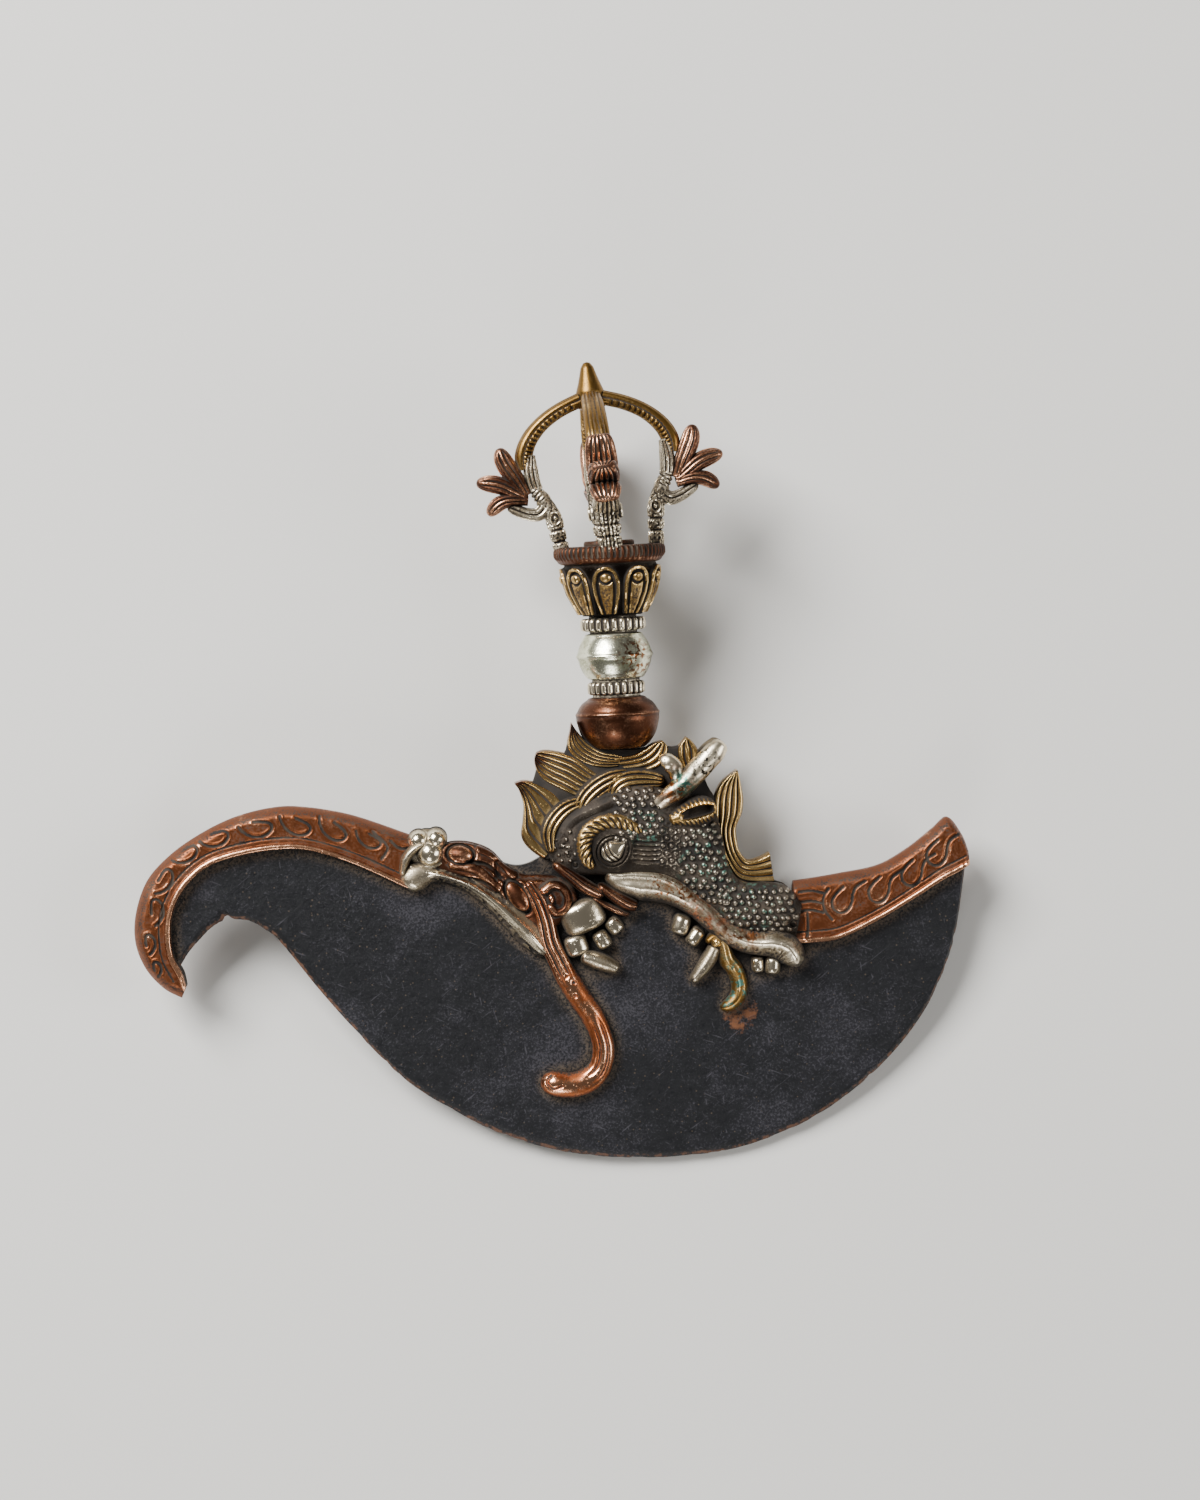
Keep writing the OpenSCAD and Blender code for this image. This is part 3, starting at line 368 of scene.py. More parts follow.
def cheek(edges, tops, rise, count, across, detail, cells, span):
    """A raised form between two edges; detail gives extra height from places, u and the share across."""
    u, share = grid_of(np.linspace(0, 1, count), (1 - np.cos(np.linspace(0, np.pi, across))) / 2)
    edges = np.asarray(edges, float)
    first, second = curve_at(edges[:, 0], u), curve_at(edges[:, 1], u)
    xy = first + (second - first) * share[..., None]
    crown = np.sin(np.linspace(0, np.pi, across)) ** 0.8
    tall = FACE + rise * curve_at(tops, u) - FOOT
    height = FOOT + tall * (CHEEK_RIM + (1 - CHEEK_RIM) * crown) + detail(xy, u, share)
    return relief(with_height(xy, height), rubbed(height, cells, span), FOOT)


def leaf(edges, count, across, ridges, deep):
    """A flat lock of hair with ridges on both faces, drawn from its tip to its root."""
    u, v = grid_of(np.linspace(0, 1, count), np.linspace(0, 1, across))
    edges = np.asarray(edges, float)
    left, right = curve_at(edges[:, 0], u), curve_at(edges[:, 1], u)
    fade = eased(u, 0.02, 0.12)
    carve = deep * fade * (strands(v, ridges) - 1)
    rim = 0.45 * (1 - clamp(np.minimum(v, 1 - v) / 0.06)) ** 2
    worn = clamp(0.1 + 0.9 * strands(v, ridges, 0.65) * fade + 0.75 * (1 - fade))
    worn[:, [0, -1]] = 0.66
    return two_faced(with_height(left + (right - left) * v[..., None], MANE_FACE + carve - rim), worn)


def turned(profile, count, around, detail=None, crisp=False):
    """A turned form; profile gives radius and height, detail gives extra radius from angle and place."""
    u, angle = grid_of(np.linspace(0, 1, count), round_turn(around))
    profile = np.array(profile, float)
    if crisp:
        along = np.cumsum([0, *np.hypot(*np.diff(profile, axis=0).T)])
        place = np.stack([np.interp(u * along[-1], along, profile[:, k]) for k in (0, 1)], axis=-1)
    else:
        place = curve_at(profile, u)
    extra = detail(angle, place) if detail else np.zeros_like(u)
    r = np.where(place[..., 0] > 0.5, place[..., 0] + extra, np.maximum(place[..., 0], 0))
    return tube(about_axis(r, angle, place[..., 1]), rubbed_round(extra, 0.4))


def squared(angle):
    """Cosine and sine for a section between a circle and a square."""
    return (np.sign(x) * np.abs(x) ** 0.75 for x in (np.cos(angle), np.sin(angle)))


def limb(path, thick, wide, count, around, detail, ends=(0.0, 0.0), blunt=1.0, span=0.5):
    """A flat limb in the X-Z plane; detail gives extra size from u and the angle round the limb."""
    u, angle = grid_of(np.linspace(0, 1, count), round_turn(around))
    share = rounded_end(u, *ends)
    extra = detail(u, angle)
    c, s = squared(angle)
    place = curve_at(path, u) - left_of(path, u) * ((curve_at(thick, u) / 2 + extra) * share * c)[..., None]
    side = (curve_at(wide, u) / 2 + extra) * share**blunt * s
    return tube(np.stack([place[..., 0], side, place[..., 1]], axis=-1), rubbed_round(extra, span))


def ribbed(angle, across, flank):
    """Ridges along a limb, 0 in grooves and 1 on tops: some over its outer face and some on each flank."""
    c, s = squared(angle)
    which = eased(np.abs(s), 0.74, 0.9)
    return strands((s + 1) / 2, across, 0.7) * (1 - which) + strands((c + 1) / 2, flank, 0.7) * which


def rope(path, radius, count, around, detail, ends):
    """A round limb along a curve in space, thick as the radii say."""
    u, angle = grid_of(np.linspace(0, 1, count), round_turn(around))
    ahead = curve_at(path, np.minimum(u + 0.01, 1)) - curve_at(path, np.maximum(u - 0.01, 0))
    ahead /= np.linalg.norm(ahead, axis=-1, keepdims=True)
    sideways = np.cross(ahead, (0, 0, 1.0))
    sideways /= np.linalg.norm(sideways, axis=-1, keepdims=True)
    upwards = np.cross(sideways, ahead)
    extra = detail(u, angle)
    size = curve_at(radius, u) * rounded_end(u, *ends) + extra
    outwards = np.cos(angle)[..., None] * sideways + np.sin(angle)[..., None] * upwards
    worn = clamp(0.55 + 0.4 * np.sin(angle) + extra * 2)
    return tube(curve_at(path, u) + size[..., None] * outwards, worn)


def joined(pieces):
    """Several meshes as one object."""
    deselect()
    for obj in pieces:
        obj.select_set(True)
    bpy.context.view_layer.objects.active = pieces[0]
    bpy.ops.object.join()
    return pieces[0]


def mesh_places(obj):
    """Places of a mesh's vertices in millimetres."""
    flat = np.empty(len(obj.data.vertices) * 3, np.float32)
    obj.data.vertices.foreach_get("co", flat)
    return flat.reshape(-1, 3) / MM


def place_mesh(obj, places):
    obj.data.vertices.foreach_set("co", (places * MM).astype(np.float32).ravel())
    obj.data.update()


def wear_by_place(obj, rule):
    """Works out anew how worn each vertex is, from its place in millimetres and how worn it was."""
    values = obj.data.attributes["worn"].data
    worn = np.empty(len(values), np.float32)
    values.foreach_get("value", worn)
    values.foreach_set("value", clamp(rule(mesh_places(obj), worn)).astype(np.float32))


def wear_by_height(obj, low, high):
    """Lets a mesh be worn at its top only."""
    wear_by_place(obj, lambda co, worn: (co[:, 2] - low) / (high - low))


def repeated(obj, places):
    """Copies of one piece at some places, each with its own mesh, as one object."""
    copies = []
    for place in places:
        mesh = obj.data.copy()
        mesh.transform(place)
        copy = bpy.data.objects.new(obj.name, mesh)
        bpy.context.scene.collection.objects.link(copy)
        copies.append(copy)
    bpy.data.objects.remove(obj)
    return joined(copies)


def hand_over(obj, name, nodes, metal, place=AS_DRAWN):
    """Lays a finished piece down in its place, with its finish, for the CAD nodes that it stands for."""
    obj.data.transform(LIE @ place)
    obj.name = obj.data.name = name
    deselect()
    obj.select_set(True)
    bpy.context.view_layer.objects.active = obj
    bpy.ops.object.shade_smooth_by_angle(angle=SMOOTH_ANGLE)
    obj.data.materials.clear()
    obj.data.materials.append(finish(metal))
    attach(obj, "root")
    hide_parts(*nodes)


def on_both_faces(obj, name, node, metal):
    """Hands over a piece of the front face and its mirror image on the back face."""
    twin = bpy.data.objects.new(name + "_back", obj.data.copy())
    bpy.context.scene.collection.objects.link(twin)
    twin.data.transform(BACK_FACE)
    twin.data.flip_normals()
    for piece, face in ((obj, "_front"), (twin, "_back")):
        hand_over(piece, name + face, [node + face], metal)


# Ornament drawn in millimetres


def pebbled(xy, places, radius, height):
    """Round bumps at some places."""
    bumps = np.zeros(xy.shape[:-1])
    for place in places:
        away = np.hypot(xy[..., 0] - place[0], xy[..., 1] - place[1]) / radius
        bumps = np.maximum(bumps, height * np.sqrt(clamp(1 - away**2)))
    return bumps


def ringed(xy, places, radius, deep):
    """Ring-shaped punch marks at some places."""
    marks = np.zeros(xy.shape[:-1])
    for place in places:
        away = np.hypot(xy[..., 0] - place[0], xy[..., 1] - place[1])
        marks = np.minimum(marks, -deep * clamp(1 - np.abs(away - radius) / (0.45 * radius)))
    return marks


def inside(xy, low, high, soft):
    """1 inside a rectangle and 0 outside, with a soft border."""
    share = 1
    for x, near, far in zip((xy[..., 0], xy[..., 1]), low, high):
        share = share * eased(x, near - soft, near + soft) * eased(-x, -far - soft, -far + soft)
    return share


def oval_distance(xy, at, half, turn):
    """Distance from an oval's middle, as a share of its half sizes."""
    c, s = cos_sin(turn)
    x, y = xy[..., 0] - at[0], xy[..., 1] - at[1]
    return np.hypot((x * c + y * s) / half[0], (y * c - x * s) / half[1])


def mound(xy, at, half, turn, height):
    """Oval mound with a crisp foot."""
    return height * np.sqrt(clamp(1 - oval_distance(xy, at, half, turn) ** 2))


def set_boss(xy, at, half, turn, height):
    """Oval boss in a dark moat with a raised rim round it."""
    away = oval_distance(xy, at, half, turn)
    moat = -0.8 * clamp(1 - np.abs(away - 1.1) / 0.17)
    return mound(xy, at, half, turn, height) + moat + 0.25 * bell(away - 1.45, 0.2)


def motif(line, at, size, turn):
    """A motif's stroke at a place, scaled and turned."""
    c, s = cos_sin(turn)
    return [(at[0] + size * (x * c - y * s), at[1] + size * (x * s + y * c)) for x, y in line]


COMMA = [
    (-2, 0.17), (-1.6, -0.25), (-0.9, -0.6), (0, -0.6), (0.67, -0.17), (0.75, 0.33), (0.33, 0.6),
    (-0.75, 0.6)
]
TEARDROP = [
    (0.2, 1.6), (-0.6, 0.8), (-0.95, 0.1), (-0.8, -0.6), (-0.2, -1), (0.5, -0.85), (1, -0.1), (1.15, 0.9),
    (1.5, 1.6), (2.4, 2.2)
]

BELLY = [
    (-84.6, -45), (-82.8, -41.5), (-80, -38.1), (-77.4, -35.6), (-74.6, -34.4), (-70.4, -34.6),
    (-67, -36.4), (-63.6, -39.4), (-55, -49.9), (-44.4, -61.5), (-37, -68), (-28, -73.4), (-19.6, -77.5),
    (-8, -80.9), (2.8, -82.2), (14, -82.2), (26, -80.8), (36, -77.7), (45, -73.2), (53.5, -66.9),
    (60.5, -59.8), (65.9, -52.3), (69.7, -44.2), (72.1, -35.8), (73.9, -22.6)
]
UNDER_ORNAMENT = [
    (-85.4, -45.5), (-87.5, -42), (-88.4, -36), (-87.5, -30), (-83.5, -24.5), (-75.5, -20), (-66, -18),
    (-58, -18), (-47, -21.5), (-38, -21.5), (-31, -19.8), (-24, -21), (-16, -23.2), (-8, -19), (0, -14),
    (10, -12), (20, -15), (26, -26), (33, -29.2), (42, -28.5), (51, -27), (58.5, -25), (65, -21),
    (69.5, -18), (72.5, -17)
]


def sheath_form(outer, inner, rise, count, across, strokes, deep):
    """A sheath folded over an edge: rolled rim and line along its inner edge, and a smooth outer slope."""
    u, v = grid_of(np.linspace(0, 1, count), np.linspace(0, 1, across) ** 1.25)
    p, q = curve_at(inner, u), curve_at(outer, u)
    xy = p + (q - p) * v[..., None]
    wide = np.hypot(*(q - p).T).T
    d = v * wide
    level = FACE + np.minimum(rise, 0.6 + 0.3 * wide)
    roll, line_at, fold = 0.65, 2.5, 2.4  # half the rolled rim, and where the line and the outer slope lie
    rim = 0.45 * np.sqrt(clamp(1 - ((d - roll) / roll) ** 2))
    field = -0.2 * eased(d, 1.1, 1.5)
    line = -0.28 * clamp(1 - np.abs(d - line_at) / 0.28) * (wide > 5)
    wall = eased(d, -0.2, 0.35)
    slope = clamp((d - (wide - fold)) / fold)
    away = distance_to(xy, strokes)
    burr = 0.12 * bell(away - 0.55, 0.2)
    extra = (rim + field + line + burr - deep * clamp(1 - away / 0.36) ** 0.7) * (1 - slope)
    extra += 0.05 * grained(d.shape, 9, 3) * (1 - slope)
    z = CHEEK + (level - CHEEK) * wall + extra
    z = z * (1 - slope**2) + 0.85 * slope**2
    worn = clamp(0.66 + 1.5 * extra - 0.24 * eased(slope, 0.05, 0.5) + 0.18 * (rim > 0.15))
    # The foot of the inner wall, where the sheath meets the blade, is painted dark: painted shade with some
    # grime
    return two_faced(with_height(xy, z), np.where(d < 0.12, 0.1, worn))


def plate(outline, half, rim):
    """A flat plate with rounded rims, drawn round its outline."""
    outline = np.asarray(outline, float)
    drawn = curve_at(np.concatenate([outline, outline[:1]]), np.linspace(0, 1, len(outline) * 4 + 1)[:-1])
    deselect()
    bpy.ops.mesh.primitive_circle_add(vertices=len(drawn), radius=1, fill_type="NOTHING")
    obj = bpy.context.object
    flat = np.column_stack([drawn, np.full(len(drawn), -half)]) * MM
    obj.data.vertices.foreach_set("co", flat.astype(np.float32).ravel())

    def raise_walls():
        bpy.ops.mesh.select_all(action="SELECT")
        bpy.ops.mesh.edge_face_add()
        bpy.ops.mesh.extrude_region_move(TRANSFORM_OT_translate={"value": (0, 0, 2 * half * MM)})

    edit(obj, raise_walls, face_outwards)
    bevel = obj.modifiers.new("rounded_rims", "BEVEL")
    bevel.width, bevel.segments, bevel.limit_method = rim * MM, 2, "ANGLE"
    bpy.ops.object.modifier_apply(modifier=bevel.name)
    wear = obj.data.attributes.new("worn", "FLOAT", "POINT")
    wear.data.foreach_set("value", np.full(len(obj.data.vertices), 0.3, np.float32))
    return obj


def tooth(x, y, wide, tall, turn, rise, count=22):
    """A blunt tooth, domed like a pillow."""
    a = np.linspace(-1, 1, count)
    p, q = np.meshgrid(a, a)
    round_off = np.sqrt(1 - 0.3 * q**4), np.sqrt(1 - 0.3 * p**4)
    c, s = cos_sin(turn)
    px, py = p * round_off[0] * wide / 2, q * round_off[1] * tall / 2
    crown = clamp((1 - p * p) * (1 - q**4)) ** 0.5
    z = FACE + rise * (0.35 + 0.65 * crown)
    rows = np.stack([x + px * c - py * s, y + px * s + py * c, z], axis=-1)
    return relief(rows, clamp(0.15 + 0.9 * crown**2), FOOT)


def ball(x, y, radius, rise):
    """A round boss on a low upright foot."""
    u, angle = grid_of(np.linspace(0, 1, 26), round_turn(52))
    bend = np.maximum(u - 0.2, 0) / 0.8 * np.pi / 2
    r = radius * np.cos(bend)
    z = FACE + rise * np.where(u < 0.2, u, 0.2 + 0.8 * np.sin(bend))
    return tube(about_axis(r, angle, z) + (x, y, 0), clamp(u * 1.3))


# Finishes


def linear(code):
    """An sRGB hex colour as the linear colour that shaders take."""
    parts = [int(code[k : k + 2], 16) / 255 for k in (1, 3, 5)]
    return [c / 12.92 if c <= 0.04045 else ((c + 0.055) / 1.055) ** 2.4 for c in parts] + [1.0]


def add(tree, kind, inputs=None, result=0, **settings):
    """Adds a node with its settings, and a value or link for each input named, and gives one output."""
    made = tree.nodes.new("ShaderNode" + kind)
    for key, value in settings.items():
        setattr(made, key, value)
    for key, value in (inputs or {}).items():
        if isinstance(value, bpy.types.NodeSocket):
            tree.links.new(value, made.inputs[key])
        else:
            made.inputs[key].default_value = value
    return made.outputs[result]


def new_material(name):
    """A material with its node tree, its shader and the places that patterns are drawn over."""
    material = bpy.data.materials.new(name)
    material.use_nodes = True
    tree = material.node_tree
    return material, tree, tree.nodes["Principled BSDF"], add(tree, "TexCoord", result="Object")


def grain_per_metre(size_mm):
    """Scale of a pattern whose features are this many millimetres wide."""
    return 1000 / size_mm


def aged_metal(
    name, bright, body, polish=0.25, dull=0.48, rub=(0.5, 0.85), grime=(0.14, 0.42), pit_mm=0.7,
    pitting=0.2, uneven=0.4, dusty=0.5, stains=()
):
    """Old worked metal: rubbed bright where it stands proud, black with tarnish and dust in its hollows,
    and darkened with grime and dust as painted shade in its creases and where pieces meet.
    """
    paint = bpy.context.scene.chopper_colours
    material, tree, shader, place = new_material(name)
    worn = add(tree, "Attribute", result="Fac", attribute_name="worn")
    cloud = add(tree, "TexNoise", {"Vector": place, "Scale": grain_per_metre(4), "Detail": 4.0})
    speck = add(tree, "TexNoise", {"Vector": place, "Scale": grain_per_metre(0.4), "Detail": 3.0})
    pits = add(tree, "TexVoronoi", {"Vector": place, "Scale": grain_per_metre(pit_mm)})
    ambient_occlusion = add(tree, "AmbientOcclusion", {"Distance": 0.0012}, "AO", samples=6)

    uneven_cloud = add(tree, "MapRange", {0: cloud, 1: 0.3, 2: 0.7, 3: -uneven / 2, 4: uneven / 2})
    uneven_speck = add(tree, "MapRange", {0: speck, 1: 0.3, 2: 0.7, 3: -0.12, 4: 0.12})
    shaken = add(tree, "Math", {0: worn, 1: uneven_speck}, operation="ADD")
    rubbing = add(tree, "Math", {0: shaken, 1: uneven_cloud}, operation="ADD")
    gleam = add(tree, "MapRange", {0: rubbing, 1: rub[0], 2: rub[1]}, **SOFT_STEP)
    clean_and_unshaded = add(tree, "MapRange", {0: shaken, 1: grime[0], 2: grime[1]}, **SOFT_STEP)
    # Painted shade: where the ambient occlusion finds a crease or a meeting of pieces, the surface turns to
    # the grime and dust colours, partly real dust
    unshaded = add(tree, "MapRange", {0: ambient_occlusion, 1: 0.3, 2: 0.8}, **SOFT_STEP)
    clean_and_unshaded = add(tree, "Math", {0: clean_and_unshaded, 1: unshaded}, **TIMES)
    pinholes = add(tree, "MapRange", {0: pits, 1: 0.12, 2: 0.24})
    spared = add(tree, "MapRange", {0: cloud, 1: 0.46, 2: 0.6, 3: 1.0, 4: 1 - pitting})
    pinholes = add(tree, "Math", {0: pinholes, 1: spared}, operation="MAXIMUM")
    clean_and_unshaded = add(tree, "Math", {0: clean_and_unshaded, 1: pinholes}, **TIMES)

    colour = add(tree, "Mix", {0: gleam, 6: body, 7: bright}, **RGBA)
    for stain, size_mm, low, high, where in stains:
        noise = {"Vector": place, "Scale": grain_per_metre(size_mm), "Detail": 5.0, "Roughness": 0.65}
        cover = add(tree, "MapRange", {0: add(tree, "TexNoise", noise), 1: low, 2: high}, **SOFT_STEP)
        cover = add(tree, "Math", {0: cover, 1: near_spot(tree, place, *where)}, **TIMES)
        colour = add(tree, "Mix", {0: cover, 6: colour, 7: stain}, **RGBA)
    settled = add(tree, "MapRange", {0: cloud, 1: 0.4, 2: 0.6, 3: 0.15 * dusty, 4: dusty})
    # The grime and dust colours: tarnish and dust in the hollows, and painted shade in the creases
    dirt_and_shade = add(tree, "Mix", {0: settled, 6: paint.grime, 7: paint.dust}, **RGBA)
    colour = add(tree, "Mix", {0: clean_and_unshaded, 6: dirt_and_shade, 7: colour}, **RGBA)
    roughness = add(tree, "Mix", {0: gleam, 2: dull, 3: polish})
    roughness = add(tree, "Mix", {0: clean_and_unshaded, 2: 0.8, 3: roughness})
    metallic = add(tree, "Mix", {0: clean_and_unshaded, 2: 0.15, 3: 1.0})
    normal = {}
    for height, strength, depth in ((speck, 0.3, 0.06), (cloud, 0.4, 0.14), (pinholes, 0.5, 0.1)):
        bump = {"Height": height, "Strength": strength, "Distance": depth * MM}
        normal = {"Normal": add(tree, "Bump", {**bump, **normal})}
    driven = {"Base Color": colour, "Roughness": roughness, "Metallic": metallic, **normal}
    for key, value in driven.items():
        tree.links.new(value, shader.inputs[key])
    return material


def near_spot(tree, place, x, y, reach):
    """1 near a place of the drawing, in millimetres, and 0 beyond its reach."""
    spot = LIE @ Vector((x * MM, y * MM, 0))
    flat = add(tree, "VectorMath", {0: place, 1: (1, 1, 0)}, **TIMES)
    away = add(tree, "VectorMath", {0: flat, 1: (spot.x, spot.y, 0)}, "Value", operation="DISTANCE")
    return add(tree, "MapRange", {0: away, 1: reach * MM, 2: 0.3 * reach * MM}, **SOFT_STEP)


def blackened_iron():
    """Forged iron, blackened and waxed: bluish black and finely mottled, with scratches, rust and dust, and
    a black line of painted shade along the foot of the ornament.
    """
    paint = bpy.context.scene.chopper_colours
    material, tree, shader, place = new_material("blackened_forged_iron")
    worn = add(tree, "Attribute", result="Fac", attribute_name="worn")
    clouds, mottle, grit = (
        add(
            tree, "TexNoise",
            {"Vector": place, "Scale": grain_per_metre(mm), "Detail": 6.0, "Roughness": 0.68}
        )
        for mm in (18, 1.5, 0.45)
    )
    ambient_occlusion = add(tree, "AmbientOcclusion", {"Distance": 0.0035}, "AO", samples=8)
    # Long thin noise reads as fine scratches, drawn 0.25 mm wide because real ones are too fine to show
    scratches = []
    for angle in (20, 75, 140):
        across = add(
            tree, "VectorRotate", {"Vector": place, "Angle": math.radians(angle)}, rotation_type="Z_AXIS"
        )
        drawn_out = add(tree, "VectorMath", {0: across, 1: (0.05, 1, 1)}, **TIMES)
        noise = {"Vector": drawn_out, "Scale": grain_per_metre(0.5), "Detail": 2.0}
        scratches.append(add(tree, "TexNoise", noise))
    scuffed = add(tree, "Math", {0: clouds, 1: 0.6, 2: grit}, operation="MULTIPLY_ADD")
    specks = add(tree, "TexVoronoi", {"Vector": place, "Scale": grain_per_metre(1.4)})
    dusted = add(tree, "Math", {0: specks, 1: clouds}, **TIMES)
    near = near_spot(tree, place, 28.5, -53, 7)
    rust = add(tree, "Math", {0: near, 1: 0.42, 2: mottle}, operation="MULTIPLY_ADD")
    gritty = add(tree, "MapRange", {0: grit, 1: 0.4, 2: 0.56}, **SOFT_STEP)
    bare = add(tree, "Math", {0: worn, 1: mottle}, **TIMES)
    # What shows, between which of its values, how much of it, its colour and what else has to be there
    layers = (
        (clouds, 0.46, 0.6, 1, paint.iron_haze, None), (scuffed, 0.8, 1.02, 0.6, paint.iron_scuffs, None),
        (mottle, 0.62, 0.78, 0.5, paint.iron_scuffs, None),
        *((lines, 0.67, 0.78, 0.55, paint.iron_scuffs, None) for lines in scratches),
        (dusted, 0.07, 0.03, 0.6, paint.dust, None), (rust, 0.8, 1.0, 0.6, paint.rust, None),
        # Dust settled round the foot of the ornament, then a black line of painted shade where the ornament
        # meets the blade
        (ambient_occlusion, 0.9, 0.7, 1, paint.dust, gritty), (ambient_occlusion, 0.6, 0.48, 1, paint.grime, None),
        (bare, 0.42, 0.6, 0.8, paint.bare_edge, None)
    )
    base = paint.iron
    for value, low, high, most, tint, other in layers:
        cover = add(tree, "MapRange", {0: value, 1: low, 2: high, 4: most}, **SOFT_STEP)
        if other:
            cover = add(tree, "Math", {0: cover, 1: other}, **TIMES)
        base = add(tree, "Mix", {0: cover, 6: base, 7: tint}, **RGBA)
    roughness = add(tree, "MapRange", {0: mottle, 1: 0.3, 2: 0.7, 3: 0.42, 4: 0.62})
    fine = add(tree, "Bump", {"Height": grit, "Strength": 0.6, "Distance": 0.12 * MM})
    bump = add(tree, "Bump", {"Height": mottle, "Strength": 0.5, "Distance": 0.4 * MM, "Normal": fine})
    for key, value in {"Base Color": base, "Roughness": roughness, "Normal": bump}.items():
        tree.links.new(value, shader.inputs[key])
    shader.inputs["Metallic"].default_value = 0.2
    shader.inputs["Specular IOR Level"].default_value = 0.4
    return material


